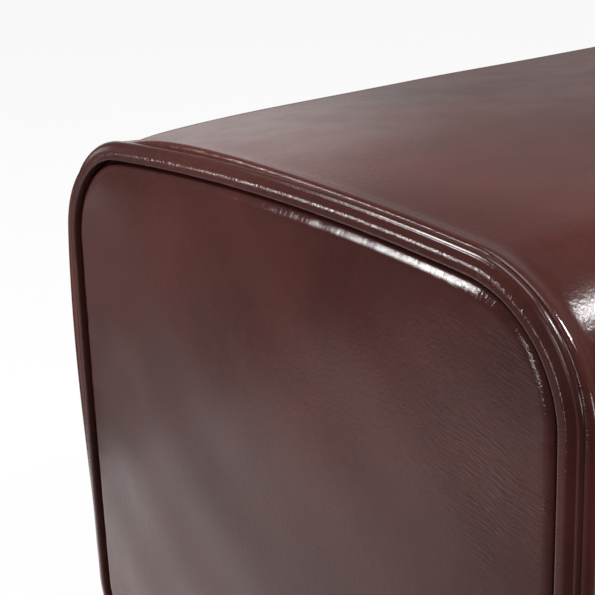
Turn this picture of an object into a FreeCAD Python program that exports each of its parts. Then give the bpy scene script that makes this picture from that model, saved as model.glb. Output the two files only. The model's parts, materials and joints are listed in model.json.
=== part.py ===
import FreeCAD, Part
import math
import os

# Upholstered leather box bench. Millimetres, +Z up, X along the bench, the front faces -Y.
# The origin is on the floor under the middle of the bench.

# Driving dimensions
LENGTH = 1220.0
DEPTH = 460.0
SEAT_HEIGHT = 460.0
FOOT_HEIGHT = 40.0
CORNER_RADIUS = 78.0
TOP_CROWN_RADIUS = 1713.0
SIDE_CROWN_RADIUS = 6000.0
END_DOME = 10.0
LEATHER = 1.3
GAP = 0.2

# End seam, measured inwards from the leather wrap's face (inset) and back from the end panel's edge
EDGE_PLANE = LENGTH / 2 - END_DOME
GROOVE_INSET = 13.0
PANEL_EDGE_INSET = 14.5
PANEL_ROLL = 7.5
ROLL_STEPS = 4
DOME_STEPS = 11
SEAM_DEPTH = 21.0
PANEL_FLANGE_INSET = 9.1
PANEL_STEP_DEPTH = 8.6
PANEL_STEP_RISE = 0.8
WRAP_EDGE_DEPTH = 7.6
WRAP_FLANGE_INSET = 5.4
WRAP_FLANGE = 1.5
WRAP_DRAW_IN = 4.4
WRAP_DRAW_REACH = 25.0
WRAP_EDGE_ROLL = 0.4
DRAWN_LENGTH = 160.0
DRAWN_STATIONS = 12

# Welt band
WELT_WIDTH = 10.0
WELT_OFFSET = 0.4
WELT_CREST = 2.2
WELT_TOP_RADIUS = 7.5
WELT_EDGE_RADIUS = 1.6
WELT_BACK = 7.2
WELT_TAIL = 1.9
CORE_CLEARANCE = 0.1

# Padding
WADDING_DEPTH = 10.5
FOAM_INSET = 10.7
END_WADDING = 8.0
BOARD_FACE = EDGE_PLANE - 25.0
SEAT_FOAM_BOTTOM = 352.0
SIDE_FOAM_FACE = 192.4

# Timber frame
BOARD_THICKNESS = 18.0
BOARD_INSET = 24.0
BOARD_BACK = BOARD_FACE - BOARD_THICKNESS
BASE_Z = FOOT_HEIGHT + LEATHER + 1.5
BOARD_BOTTOM = FOOT_HEIGHT + LEATHER + 3.0
DOWEL_LIFT = 10.0
RAIL_TOP = 344.0
TOP_RAIL_THICKNESS = 25.0
TOP_RAIL_HEIGHT = 60.0
TOP_RAIL_FACE = 188.0
BASE_RAIL_WIDTH = 40.0
BASE_RAIL_HEIGHT = 45.0
BASE_RAIL_FACE = 148.0
CROSS_RAIL_WIDTH = 45.0
RIB_SPACING = 290.0
RIB_THICKNESS = 18.0
RIB_TOP_DROP = 14.0
RIB_EAR = 22.0
RIB_DIP = 55.0
WINDOW_HALF = 90.0
WINDOW_TOP = 250.0
WINDOW_ROUND = 25.0
LINER_THICKNESS = 4.0
LINER_BOTTOM = 124.0
BLOCK_LEG = 70.0
FIT = 0.1

# Fasteners
DOWEL_RADIUS = 5.0
DOWEL_LENGTH = 40.0
DOWEL_IN_BOARD = 13.0
SCREW_RADIUS = 2.5
SCREW_HEAD_RADIUS = 5.0
RAIL_DOWEL_LIFT = 18.0
BASE_DOWEL_SHIFT = 12.0
BOARD_SCREW = 70.0
BOARD_SCREW_LIFT = 14.0
TOP_RIB_SCREW = 55.0
BASE_RIB_SCREW = 75.0
BLOCK_SCREW = 65.0
BLOCK_SCREW_LIFT = 8.0
BLOCK_SCREW_SHARE = 0.43
STAPLE_PITCH = 70.0
HEM_STAPLE_SHIFT = 17.0
STRIP_STAPLE_PITCH = 40.0
STRIP_STAPLE_SHIFT = 8.0
COVER_END_PITCH = 45.0
STAPLE_CROWN = 10.0
STAPLE_LEG = 10.0
STAPLE_WIRE = 0.5
STAPLE_WIDTH = 1.0
HEM_EDGE = 108.0
HEM_STAPLE_Y = 116.0
STRIP_EDGE = 520.0
STRIP_STAPLE_X = 530.0
STRIP_SEAM = 150.0

# Springs
SPRING_COUNT = 9
SPRING_SPACING = 120.0
SPRING_WIRE = 1.9
SPRING_WIDTH = 50.0
SPRING_BEND = 8.0
SPRING_RUNS = 22
CLIP_SHEET = 1.2
TIE_WIRE = 1.0
TIE_Y = 56.0
HESSIAN_THICKNESS = 1.0
CLIP_HALF = 8.0
CLIP_TOE = 4.0
CLIP_HEEL = 15.0

# Underside
COVER_THICKNESS = 0.7
COVER_HALF_WIDTH = 146.0
COVER_HALF_LENGTH = 550.0
COVER_STAPLE_Y = 138.0
COVER_STAPLE_X = 543.0
FOOT_X = 490.0
FOOT_Y = 128.0
FOOT_TOP_WIDTH = 56.0
FOOT_BOTTOM_WIDTH = 44.0
FOOT_ROUND = 6.0
GLIDE_HEIGHT = 5.0
GLIDE_RADIUS = 17.0
BOLT_RADIUS = 4.0
INSERT_RADIUS = 6.0
INSERT_LENGTH = 16.0
BOLT_BOTTOM = 18.0
FOOT_TOP = FOOT_HEIGHT - COVER_THICKNESS - GAP
GLIDE_ROUND = 1.5
NAIL_RADIUS = 1.0
NAIL_HEAD = 3.0
NAIL_HEAD_THICKNESS = 1.0
NAIL_SUNK = 0.5
NAIL_LENGTH = 13.0
NAIL_HOLE_TOP = 15.0

# Centres of the arcs that make the cross-section
MID_Z = (FOOT_HEIGHT + SEAT_HEIGHT) / 2
TOP_CENTRE = (0.0, SEAT_HEIGHT - TOP_CROWN_RADIUS)
SIDE_CENTRE = (DEPTH / 2 - SIDE_CROWN_RADIUS, MID_Z)


def meet(first, first_radius, second, second_radius):
    """Return the upper point where two circles in the YZ plane meet."""
    dy = second[0] - first[0]
    dz = second[1] - first[1]
    span = math.hypot(dy, dz)
    along = (first_radius ** 2 - second_radius ** 2 + span ** 2) / (2 * span)
    across = math.sqrt(first_radius ** 2 - along ** 2)
    base = (first[0] + along * dy / span, first[1] + along * dz / span)
    options = [(base[0] - s * across * dz / span, base[1] + s * across * dy / span) for s in (-1, 1)]
    return max(options, key=lambda point: point[1])


def heading(start, end):
    """Return the unit direction from one YZ point to another."""
    span = math.hypot(end[0] - start[0], end[1] - start[1])
    return ((end[0] - start[0]) / span, (end[1] - start[1]) / span)


def between(first, second):
    """Return the unit direction half-way between two directions."""
    return heading((0.0, 0.0), (first[0] + second[0], first[1] + second[1]))


def reach(centre, radius, direction):
    """Return the YZ point at a radius from a centre in a direction."""
    return (centre[0] + radius * direction[0], centre[1] + radius * direction[1])


UPPER_CENTRE = meet(
    TOP_CENTRE, TOP_CROWN_RADIUS - CORNER_RADIUS, SIDE_CENTRE, SIDE_CROWN_RADIUS - CORNER_RADIUS
)
LOWER_CENTRE_Z = FOOT_HEIGHT + CORNER_RADIUS
LOWER_CENTRE = (
    SIDE_CENTRE[0]
    + math.sqrt((SIDE_CROWN_RADIUS - CORNER_RADIUS) ** 2 - (LOWER_CENTRE_Z - MID_Z) ** 2),
    LOWER_CENTRE_Z,
)
SIDE_LOW = heading(SIDE_CENTRE, LOWER_CENTRE)
SIDE_HIGH = heading(SIDE_CENTRE, UPPER_CENTRE)
TOP_SIDE = heading(TOP_CENTRE, UPPER_CENTRE)
DOWN = (0.0, -1.0)


def vector(x, y, z):
    """Return a FreeCAD vector."""
    return FreeCAD.Vector(x, y, z)


def box(x0, x1, y0, y1, z0, z1):
    """Return a box between two corners."""
    return Part.makeBox(x1 - x0, y1 - y0, z1 - z0, vector(x0, y0, z0))


def cylinder(radius, start, direction, length):
    """Return a cylinder from a start point along a direction."""
    return Part.makeCylinder(radius, length, vector(*start), vector(*direction))


def fuse(shapes):
    """Return several shapes joined into one, with split faces merged."""
    first, *rest = shapes
    return first.fuse(rest).removeSplitter() if rest else first


def group(shapes):
    """Return separate solids as one compound."""
    return Part.makeCompound(shapes)


def mirrored(shape):
    """Return the shape's twin at the other end of the bench."""
    return shape.mirror(vector(0, 0, 0), vector(1, 0, 0))


def turned(shape):
    """Return the shape's twin on the other long side of the bench."""
    return shape.mirror(vector(0, 0, 0), vector(0, 1, 0))


def write(name, shape):
    """Write one node to its STEP file."""
    if not shape.isValid():
        raise ValueError(f"{name} is not a valid shape")
    shape.exportStep(os.path.join("parts", f"{name}.step"))
    print(f"{name}: {len(shape.Solids)} solids, {shape.Volume / 1000:.1f} cm3")


def section(inset, x, shrink=1.0):
    """Return the body's closed cross-section, inset from the leather's face, at a station along X."""
    side = SIDE_CROWN_RADIUS - inset
    corner = CORNER_RADIUS - inset
    half = [
        (LOWER_CENTRE[0], FOOT_HEIGHT + inset),
        reach(LOWER_CENTRE, corner, between(DOWN, SIDE_LOW)),
        reach(SIDE_CENTRE, side, SIDE_LOW),
        reach(SIDE_CENTRE, side, between(SIDE_LOW, SIDE_HIGH)),
        reach(SIDE_CENTRE, side, SIDE_HIGH),
        reach(UPPER_CENTRE, corner, between(SIDE_HIGH, TOP_SIDE)),
        reach(TOP_CENTRE, TOP_CROWN_RADIUS - inset, TOP_SIDE),
    ]
    crown = (0.0, SEAT_HEIGHT - inset)
    loop = half + [crown] + [(-y, z) for y, z in reversed(half)]
    points = [vector(x, y * shrink, MID_Z + (z - MID_Z) * shrink) for y, z in loop]
    edges = [Part.LineSegment(points[-1], points[0]).toShape()]
    for k in range(0, len(points) - 1, 2):
        edges.append(Part.Arc(points[k], points[k + 1], points[k + 2]).toShape())
    return Part.Wire(edges)


def prism(inset, x0, x1):
    """Return a solid of constant cross-section between two stations."""
    return Part.Face(section(inset, x0)).extrude(vector(x1 - x0, 0, 0))


def ring(outer, inner, x0, x1):
    """Return a hollow prism between two insets."""
    return prism(outer, x0, x1).cut(prism(inner, x0 - 1, x1 + 1))


def draw_in(depth):
    """Return how far the wrap has drawn in at a depth back from the end panel's edge."""
    sweep = WRAP_DRAW_IN * math.exp(-(depth - SEAM_DEPTH / 2) / WRAP_DRAW_REACH)
    return sweep + WRAP_EDGE_ROLL * math.exp(-(depth - WRAP_EDGE_DEPTH))


def crowned_body(first_depth, extra):
    """Return the body that fills the wrap's face, set in by an extra amount and drawn in at both ends."""
    growth = (DRAWN_LENGTH / first_depth) ** (1 / DRAWN_STATIONS)
    depths = [first_depth * growth ** k for k in range(DRAWN_STATIONS + 1)]
    near = [section(draw_in(depth) + extra, depth - EDGE_PLANE) for depth in depths]
    far = [section(draw_in(depth) + extra, EDGE_PLANE - depth) for depth in reversed(depths)]
    return Part.makeLoft(near + far, True, True)


def end_cushion(offset, back):
    """Return the right-hand end pad's domed solid, set in by an offset, down to a depth behind its edge."""
    roll = max(PANEL_ROLL - offset, 2.0)
    start = PANEL_EDGE_INSET + offset
    wires = []
    for k in range(ROLL_STEPS):
        turn = math.pi / 2 * k / ROLL_STEPS
        inset = start + roll * (1 - math.cos(turn))
        wires.append(section(inset, EDGE_PLANE - offset - roll * (1 - math.sin(turn))))
    for k in range(DOME_STEPS):
        shrink = math.cos(math.pi / 2 * k / DOME_STEPS)
        wires.append(section(start + roll, EDGE_PLANE - offset + END_DOME * (1 - shrink ** 2), shrink))
    dome = Part.makeLoft(wires, True, True)
    return fuse([prism(start, EDGE_PLANE - back, EDGE_PLANE - offset - roll), dome])


def end_panel():
    """Return the right-hand end panel: a domed skin with a rolled edge and a sewn flange."""
    def shape(offset):
        flange = PANEL_FLANGE_INSET + offset
        step = PANEL_STEP_DEPTH + offset
        low = section(flange, EDGE_PLANE - step)
        high = section(PANEL_EDGE_INSET + offset, EDGE_PLANE - step + PANEL_STEP_RISE)
        return fuse([
            prism(flange, EDGE_PLANE - SEAM_DEPTH - offset, EDGE_PLANE - step),
            Part.makeLoft([low, high], True, True),
            end_cushion(offset, step - PANEL_STEP_RISE),
        ])
    return shape(0.0).cut(shape(LEATHER))


def welt_profile(inset):
    """Return the welt's cross-section wire in the XZ plane where it passes under the bench."""
    x_of = lambda e: EDGE_PLANE + e
    start = section(GROOVE_INSET, EDGE_PLANE).Edges[0].Vertexes[0].Point
    half = WELT_WIDTH / 2 - inset
    edge = WELT_EDGE_RADIUS - inset
    top = WELT_TOP_RADIUS - inset
    crest = WELT_CREST - inset
    run = half - edge
    top_centre = crest - top
    edge_centre = top_centre + math.sqrt((top - edge) ** 2 - run ** 2)
    lean = math.atan2(run, edge_centre - top_centre)
    back = -WELT_BACK + inset
    low_centre = back + edge
    place = lambda n, e: vector(x_of(e), start.y, start.z - (WELT_OFFSET + WELT_WIDTH / 2 + n))

    def side(sign):
        middle = (lean + math.pi / 2) / 2
        return [
            (sign * top * math.sin(lean), top_centre + top * math.cos(lean)),
            (sign * (run + edge * math.sin(middle)), edge_centre + edge * math.cos(middle)),
            (sign * half, edge_centre),
            (sign * half, low_centre),
            (sign * (run + edge * math.sqrt(0.5)), low_centre - edge * math.sqrt(0.5)),
            (sign * run, back),
        ]
    far = [place(n, e) for n, e in side(1)]
    near = [place(n, e) for n, e in side(-1)]
    edges = [Part.Arc(near[0], place(0.0, crest), far[0])]
    for half_points in (far, near):
        edges.append(Part.Arc(half_points[0], half_points[1], half_points[2]))
        edges.append(Part.LineSegment(half_points[2], half_points[3]))
        edges.append(Part.Arc(half_points[3], half_points[4], half_points[5]))
    edges.append(Part.LineSegment(near[5], far[5]))
    return Part.Wire(Part.__sortEdges__([edge.toShape() for edge in edges]))


def welt_band(inset):
    """Return the solid swept by the welt's cross-section round the right-hand end."""
    spine = section(GROOVE_INSET, EDGE_PLANE)
    return Part.Wire(spine.Edges).makePipeShell([welt_profile(inset)], True, False)


def screw(head, direction, length):
    """Return a countersunk wood screw from the middle of its head face."""
    sink = SCREW_HEAD_RADIUS - SCREW_RADIUS
    cone = Part.makeCone(SCREW_HEAD_RADIUS, SCREW_RADIUS, sink, vector(*head), vector(*direction))
    return fuse([cone, cylinder(SCREW_RADIUS, head, direction, length)])


def staple(x, y, crown_z, along_x):
    """Return a staple with its crown on the underside and its legs pointing up."""
    half = STAPLE_CROWN / 2
    wide = STAPLE_WIDTH / 2
    pieces = [box(-half, half, -wide, wide, 0, STAPLE_WIRE)]
    for side in (-1, 1):
        middle = side * (half - STAPLE_WIRE / 2)
        pieces.append(box(middle - STAPLE_WIRE / 2, middle + STAPLE_WIRE / 2, -wide, wide, 0, STAPLE_LEG))
    shape = fuse(pieces)
    if not along_x:
        shape.rotate(vector(0, 0, 0), vector(0, 0, 1), 90)
    shape.translate(vector(x, y, crown_z))
    return shape


def spring(x):
    """Return one zig-zag spring running from the front rail to the back rail."""
    z = RAIL_TOP + CLIP_SHEET + SPRING_WIRE + FIT
    half = SPRING_WIDTH / 2 - SPRING_BEND
    pitch = 2 * SPRING_BEND
    first = -pitch * (SPRING_RUNS - 1) / 2
    edges = []
    for k in range(SPRING_RUNS):
        y = first + k * pitch
        side = 1 if k % 2 == 0 else -1
        edges.append(Part.LineSegment(vector(x - side * half, y, z), vector(x + side * half, y, z)).toShape())
        if k < SPRING_RUNS - 1:
            near = vector(x + side * half, y, z)
            bulge = vector(x + side * (half + SPRING_BEND), y + SPRING_BEND, z)
            edges.append(Part.Arc(near, bulge, vector(x + side * half, y + pitch, z)).toShape())
    path = Part.Wire(edges)
    circle = Part.Wire(Part.Circle(vector(x - half, first, z), vector(1, 0, 0), SPRING_WIRE).toShape())
    return path.makePipeShell([circle], True, False)


def clip(x, side):
    """Return one folded clip that holds a spring's end bar on a top rail."""
    wire_z = RAIL_TOP + CLIP_SHEET + SPRING_WIRE + FIT
    wire_y = side * SPRING_BEND * (SPRING_RUNS - 1)
    outer = SPRING_WIRE + FIT + CLIP_SHEET
    hoop = cylinder(outer, (x - CLIP_HALF, wire_y, wire_z), (1, 0, 0), 2 * CLIP_HALF)
    near, far = sorted((wire_y - side * CLIP_TOE, wire_y + side * CLIP_HEEL))
    plate = box(x - CLIP_HALF, x + CLIP_HALF, near, far, RAIL_TOP, RAIL_TOP + CLIP_SHEET)
    bore = cylinder(SPRING_WIRE + FIT, (x - CLIP_HALF - 1, wire_y, wire_z), (1, 0, 0), 2 * CLIP_HALF + 2)
    return fuse([hoop, plate]).cut(bore)


def foot(x, y):
    """Return one tapered block foot with rounded upright edges, its bolt hole and its nail hole."""
    def square(width, z):
        half = width / 2
        corners = [vector(x + sx * half, y + sy * half, z) for sx, sy in ((-1, -1), (1, -1), (1, 1), (-1, 1))]
        return Part.makePolygon(corners + corners[:1])
    low = square(FOOT_BOTTOM_WIDTH, GLIDE_HEIGHT)
    block = Part.makeLoft([low, square(FOOT_TOP_WIDTH, FOOT_TOP)], True, True)
    upright = [edge for edge in block.Edges if abs(edge.tangentAt(edge.FirstParameter).z) > 0.5]
    block = block.makeFillet(FOOT_ROUND, upright)
    block = block.cut(cylinder(BOLT_RADIUS + FIT, (x, y, BOLT_BOTTOM), (0, 0, 1), FOOT_HEIGHT))
    nail_hole = cylinder(NAIL_RADIUS, (x, y, 0), (0, 0, 1), NAIL_HOLE_TOP)
    return block.cut(nail_hole)


END_SIGNS = (-1, 1)
RIB_STATIONS = (-RIB_SPACING, 0.0, RIB_SPACING)
FOOT_PLACES = [(sx * FOOT_X, sy * FOOT_Y) for sx in END_SIGNS for sy in END_SIGNS]

os.makedirs("parts", exist_ok=True)

# Leather skins
full_skin = crowned_body(WRAP_EDGE_DEPTH, 0.0).cut(crowned_body(WRAP_EDGE_DEPTH - 1, LEATHER))
flange = ring(
    WRAP_FLANGE_INSET, WRAP_FLANGE_INSET + WRAP_FLANGE, EDGE_PLANE - SEAM_DEPTH, EDGE_PLANE - WRAP_EDGE_DEPTH
)
full_skin = full_skin.fuse([flange, mirrored(flange)])
under = FOOT_HEIGHT - 1
over = FOOT_HEIGHT + SEAM_DEPTH
opening = fuse([
    box(-STRIP_EDGE, STRIP_EDGE, -HEM_EDGE, HEM_EDGE, under, over),
    box(STRIP_EDGE, LENGTH / 2, -STRIP_SEAM, STRIP_SEAM, under, over),
    box(-LENGTH / 2, -STRIP_EDGE, -STRIP_SEAM, STRIP_SEAM, under, over),
])
wrap = full_skin.cut(opening)
strip_area = box(STRIP_EDGE + GAP, LENGTH / 2, -STRIP_SEAM + GAP, STRIP_SEAM - GAP, under, over)
strip = full_skin.common(strip_area)
panel = end_panel()

# Welt band, its sewn tail and its filler core
tail_inset = GROOVE_INSET - WELT_WIDTH / 2 - WELT_TAIL / 2
tail = ring(tail_inset, tail_inset + WELT_TAIL, EDGE_PLANE - SEAM_DEPTH, EDGE_PLANE - WELT_BACK + LEATHER / 2)
welt = welt_band(0.0).cut(welt_band(LEATHER - CORE_CLEARANCE)).fuse(tail)
core = welt_band(LEATHER)
write("left_end_panel", mirrored(panel))
write("right_end_panel", panel)
write("left_welt", mirrored(welt))
write("right_welt", welt)
write("left_welt_core", mirrored(core))
write("right_welt_core", core)

# Fasteners in the frame
dowels = []
board_screws = []
rib_screws = []
block_screws = []
rail_mid_y = TOP_RAIL_FACE - TOP_RAIL_THICKNESS / 2
rail_mid_z = RAIL_TOP - TOP_RAIL_HEIGHT / 2
base_mid_y = BASE_RAIL_FACE - BASE_RAIL_WIDTH / 2
base_mid_z = BASE_Z + BASE_RAIL_HEIGHT / 2
cross_face = BOARD_BACK - FIT
cross_inner = cross_face - CROSS_RAIL_WIDTH
base_inner = BASE_RAIL_FACE - BASE_RAIL_WIDTH
block_mid = BLOCK_LEG * BLOCK_SCREW_SHARE
for end in END_SIGNS:
    for side in END_SIGNS:
        inward = (-end, 0, 0)
        dowel_x = end * (BOARD_BACK + DOWEL_IN_BOARD)
        for lift in (-RAIL_DOWEL_LIFT, RAIL_DOWEL_LIFT):
            start = (dowel_x, side * rail_mid_y, rail_mid_z + lift)
            dowels.append(cylinder(DOWEL_RADIUS, start, inward, DOWEL_LENGTH))
        for shift in (-BASE_DOWEL_SHIFT, BASE_DOWEL_SHIFT):
            start = (dowel_x, side * (base_mid_y + shift), base_mid_z + DOWEL_LIFT)
            dowels.append(cylinder(DOWEL_RADIUS, start, inward, DOWEL_LENGTH))
            cross_x = end * (cross_inner + CROSS_RAIL_WIDTH / 2 + shift)
            start = (cross_x, side * (base_inner + DOWEL_LENGTH / 2), base_mid_z - DOWEL_LIFT)
            dowels.append(cylinder(DOWEL_RADIUS, start, (0, -side, 0), DOWEL_LENGTH))
        head = (end * BOARD_FACE, side * rail_mid_y, rail_mid_z)
        board_screws.append(screw(head, inward, BOARD_SCREW))
        head = (end * BOARD_FACE, side * base_mid_y, base_mid_z + BOARD_SCREW_LIFT)
        board_screws.append(screw(head, inward, BOARD_SCREW))
        near_x = end * (cross_inner - BLOCK_LEG + block_mid)
        near_y = side * (base_inner - BLOCK_LEG + block_mid)
        head = (near_x, side * (base_inner - block_mid), base_mid_z - BLOCK_SCREW_LIFT)
        block_screws.append(screw(head, (end, 0, 0), BLOCK_SCREW))
        head = (end * (cross_inner - block_mid), near_y, base_mid_z + BLOCK_SCREW_LIFT)
        block_screws.append(screw(head, (0, side, 0), BLOCK_SCREW))
for station in RIB_STATIONS:
    for side in END_SIGNS:
        rib_screws.append(screw((station, side * TOP_RAIL_FACE, rail_mid_z), (0, -side, 0), TOP_RIB_SCREW))
        rib_screws.append(screw((station, side * base_mid_y, BASE_Z), (0, 0, 1), BASE_RIB_SCREW))


def holes(shapes):
    """Return slightly larger copies of round fasteners, to be cut from the timber."""
    return group([shape.makeOffsetShape(FIT / 2, 0.01) for shape in shapes])


frame_holes = holes(dowels + board_screws + rib_screws + block_screws)
write("dowels", group(dowels))
write("board_screws", group(board_screws))
write("rib_screws", group(rib_screws))
write("block_screws", group(block_screws))

# Staples: the hem's are flush with the leather, the dust cover's sit under the cloth
hem_staples = []
cover_staples = []
cover_bottom = FOOT_HEIGHT - FIT - COVER_THICKNESS
for side in END_SIGNS:
    for k in range(-7, 8):
        x = k * STAPLE_PITCH
        hem_staples.append(staple(x + HEM_STAPLE_SHIFT, side * HEM_STAPLE_Y, FOOT_HEIGHT, True))
        if abs(abs(x) - FOOT_X) > FOOT_TOP_WIDTH:
            cover_staples.append(staple(x, side * COVER_STAPLE_Y, cover_bottom - STAPLE_WIRE, True))
    for k in range(-2, 3):
        y = k * STRIP_STAPLE_PITCH + STRIP_STAPLE_SHIFT
        hem_staples.append(staple(side * STRIP_STAPLE_X, y, FOOT_HEIGHT, False))
        y = k * COVER_END_PITCH
        cover_staples.append(staple(side * COVER_STAPLE_X, y, cover_bottom - STAPLE_WIRE, False))
all_staples = group(hem_staples + cover_staples)
write("hem_staples", group(hem_staples))
write("dust_cover_staples", group(cover_staples))

# Feet and what holds them
bolt_top = BASE_Z + INSERT_LENGTH - 1
bolts = []
inserts = []
insert_holes = []
glides = []
nails = []
bolt_holes = []
for x, y in FOOT_PLACES:
    bolts.append(cylinder(BOLT_RADIUS, (x, y, BOLT_BOTTOM), (0, 0, 1), bolt_top - BOLT_BOTTOM))
    bolt_holes.append(cylinder(BOLT_RADIUS + 0.5, (x, y, FOOT_HEIGHT - 5), (0, 0, 1), 10))
    barrel = cylinder(INSERT_RADIUS, (x, y, BASE_Z), (0, 0, 1), INSERT_LENGTH)
    thread = cylinder(BOLT_RADIUS + FIT / 2, (x, y, BASE_Z - 1), (0, 0, 1), INSERT_LENGTH + 2)
    inserts.append(barrel.cut(thread))
    insert_holes.append(cylinder(INSERT_RADIUS + FIT / 2, (x, y, BASE_Z - 1), (0, 0, 1), INSERT_LENGTH + 1))
    disc = cylinder(GLIDE_RADIUS, (x, y, 0), (0, 0, 1), GLIDE_HEIGHT)
    disc = disc.makeFillet(GLIDE_ROUND, [edge for edge in disc.Edges if edge.BoundBox.ZMax < FIT])
    well = cylinder(NAIL_HEAD + GAP, (x, y, 0), (0, 0, 1), NAIL_SUNK + NAIL_HEAD_THICKNESS)
    nail_hole = cylinder(NAIL_RADIUS + FIT / 2, (x, y, 0), (0, 0, 1), GLIDE_HEIGHT + 1)
    glides.append(disc.cut(well).cut(nail_hole))
    head = cylinder(NAIL_HEAD, (x, y, NAIL_SUNK), (0, 0, 1), NAIL_HEAD_THICKNESS)
    nails.append(fuse([head, cylinder(NAIL_RADIUS - FIT / 2, (x, y, NAIL_SUNK), (0, 0, 1), NAIL_LENGTH)]))
write("foot_bolts", group(bolts))
write("foot_inserts", group(inserts))
write("foot_glides", group(glides))
write("glide_nails", group(nails))
foot_names = ("left_front_foot", "left_back_foot", "right_front_foot", "right_back_foot")
for name, (x, y) in zip(foot_names, FOOT_PLACES):
    write(name, foot(x, y))

# Leather hem and strips with their staple and bolt holes
skin_holes = group([all_staples] + bolt_holes)
write("leather_wrap", wrap.cut(skin_holes))
write("right_base_strip", strip.cut(all_staples))
write("left_base_strip", mirrored(strip).cut(all_staples))

# Dust cover
cover = box(
    -COVER_HALF_LENGTH, COVER_HALF_LENGTH, -COVER_HALF_WIDTH, COVER_HALF_WIDTH,
    cover_bottom, cover_bottom + COVER_THICKNESS,
)
write("dust_cover", cover.cut(group(cover_staples + bolt_holes)))

# Rails and boards
top_rail = box(
    -BOARD_BACK + FIT, BOARD_BACK - FIT,
    TOP_RAIL_FACE - TOP_RAIL_THICKNESS, TOP_RAIL_FACE, RAIL_TOP - TOP_RAIL_HEIGHT, RAIL_TOP,
)
base_rail = box(
    -BOARD_BACK + FIT, BOARD_BACK - FIT,
    base_inner, BASE_RAIL_FACE, BASE_Z, BASE_Z + BASE_RAIL_HEIGHT,
)
rail_holes = group([frame_holes, all_staples] + insert_holes)
write("back_top_rail", top_rail.cut(frame_holes))
write("front_top_rail", turned(top_rail).cut(frame_holes))
write("back_base_rail", base_rail.cut(rail_holes))
write("front_base_rail", turned(base_rail).cut(rail_holes))
cross_half = base_inner - FIT
cross_rail = box(cross_inner, cross_face, -cross_half, cross_half, BASE_Z, BASE_Z + BASE_RAIL_HEIGHT)
write("right_cross_rail", cross_rail.cut(rail_holes))
write("left_cross_rail", mirrored(cross_rail).cut(rail_holes))
board = fuse([
    prism(BOARD_INSET, BOARD_BACK, BOARD_FACE),
    box(BOARD_BACK, BOARD_FACE, -BASE_RAIL_FACE, BASE_RAIL_FACE, BOARD_BOTTOM, LINER_BOTTOM),
])
write("right_end_board", board.cut(frame_holes))
write("left_end_board", mirrored(board).cut(frame_holes))
blocks = []
for end in END_SIGNS:
    for side in END_SIGNS:
        corner = vector(end * (cross_inner - FIT), side * (base_inner - FIT), BASE_Z + GAP)
        along = vector(corner.x - end * BLOCK_LEG, corner.y, corner.z)
        across = vector(corner.x, corner.y - side * BLOCK_LEG, corner.z)
        face = Part.Face(Part.makePolygon([corner, along, across, corner]))
        blocks.append(face.extrude(vector(0, 0, BASE_RAIL_HEIGHT - 2 * GAP)).cut(frame_holes))
write("corner_blocks", group(blocks))

# Ribs, seated over the base rails and inside the top rails
rib_inner = TOP_RAIL_FACE - TOP_RAIL_THICKNESS - FIT
rib_half = [
    (BASE_RAIL_FACE, BASE_Z), (BASE_RAIL_FACE, BASE_Z + BASE_RAIL_HEIGHT + 2), (TOP_RAIL_FACE, LINER_BOTTOM),
    (TOP_RAIL_FACE, RAIL_TOP - TOP_RAIL_HEIGHT - FIT), (rib_inner, RAIL_TOP - TOP_RAIL_HEIGHT - FIT),
    (rib_inner, RAIL_TOP - RIB_TOP_DROP), (rib_inner - RIB_EAR, RAIL_TOP - RIB_TOP_DROP),
    (rib_inner - 2 * RIB_EAR, RAIL_TOP - RIB_DIP),
]


def rib_solid(x, thickness):
    """Return a rib's plain outline as a solid centred on a station."""
    loop = rib_half + [(-y, z) for y, z in reversed(rib_half)]
    points = [vector(x - thickness / 2, y, z) for y, z in loop]
    return Part.Face(Part.makePolygon(points + points[:1])).extrude(vector(thickness, 0, 0))


notch = group([
    box(-RIB_SPACING - 50, RIB_SPACING + 50, side * base_mid_y - BASE_RAIL_WIDTH / 2 - FIT,
        side * base_mid_y + BASE_RAIL_WIDTH / 2 + FIT, BASE_Z - 1, BASE_Z + BASE_RAIL_HEIGHT + FIT)
    for side in END_SIGNS
])
for name, station in zip(("left_rib", "centre_rib", "right_rib"), RIB_STATIONS):
    window = box(
        station - RIB_THICKNESS, station + RIB_THICKNESS, -WINDOW_HALF, WINDOW_HALF, LINER_BOTTOM, WINDOW_TOP
    )
    window = window.makeFillet(WINDOW_ROUND, [edge for edge in window.Edges if abs(edge.tangentAt(0).x) > 0.5])
    write(name, rib_solid(station, RIB_THICKNESS).cut(notch).cut(window).cut(frame_holes))
liner = box(
    -BOARD_BACK + FIT, BOARD_BACK - FIT, TOP_RAIL_FACE + GAP, TOP_RAIL_FACE + GAP + LINER_THICKNESS,
    LINER_BOTTOM, RAIL_TOP,
)
write("back_liner", liner)
write("front_liner", turned(liner))

# Springs
spring_stations = [(k - (SPRING_COUNT - 1) / 2) * SPRING_SPACING for k in range(SPRING_COUNT)]
write("seat_springs", group([spring(x) for x in spring_stations]))
write("spring_clips", group([clip(x, side) for x in spring_stations for side in END_SIGNS]))
tie_z = RAIL_TOP + CLIP_SHEET - TIE_WIRE
tie_reach = spring_stations[-1] + SPRING_WIDTH / 2
ties = [cylinder(TIE_WIRE, (-tie_reach, y, tie_z), (1, 0, 0), 2 * tie_reach) for y in (-TIE_Y, TIE_Y)]
write("tie_wires", group(ties))
hessian_top = SEAT_FOAM_BOTTOM - GAP
hessian_half = BOARD_BACK - 2
hessian = box(
    -hessian_half, hessian_half, -TOP_RAIL_FACE, TOP_RAIL_FACE, hessian_top - HESSIAN_THICKNESS, hessian_top
)
write("hessian_deck", hessian)

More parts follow.
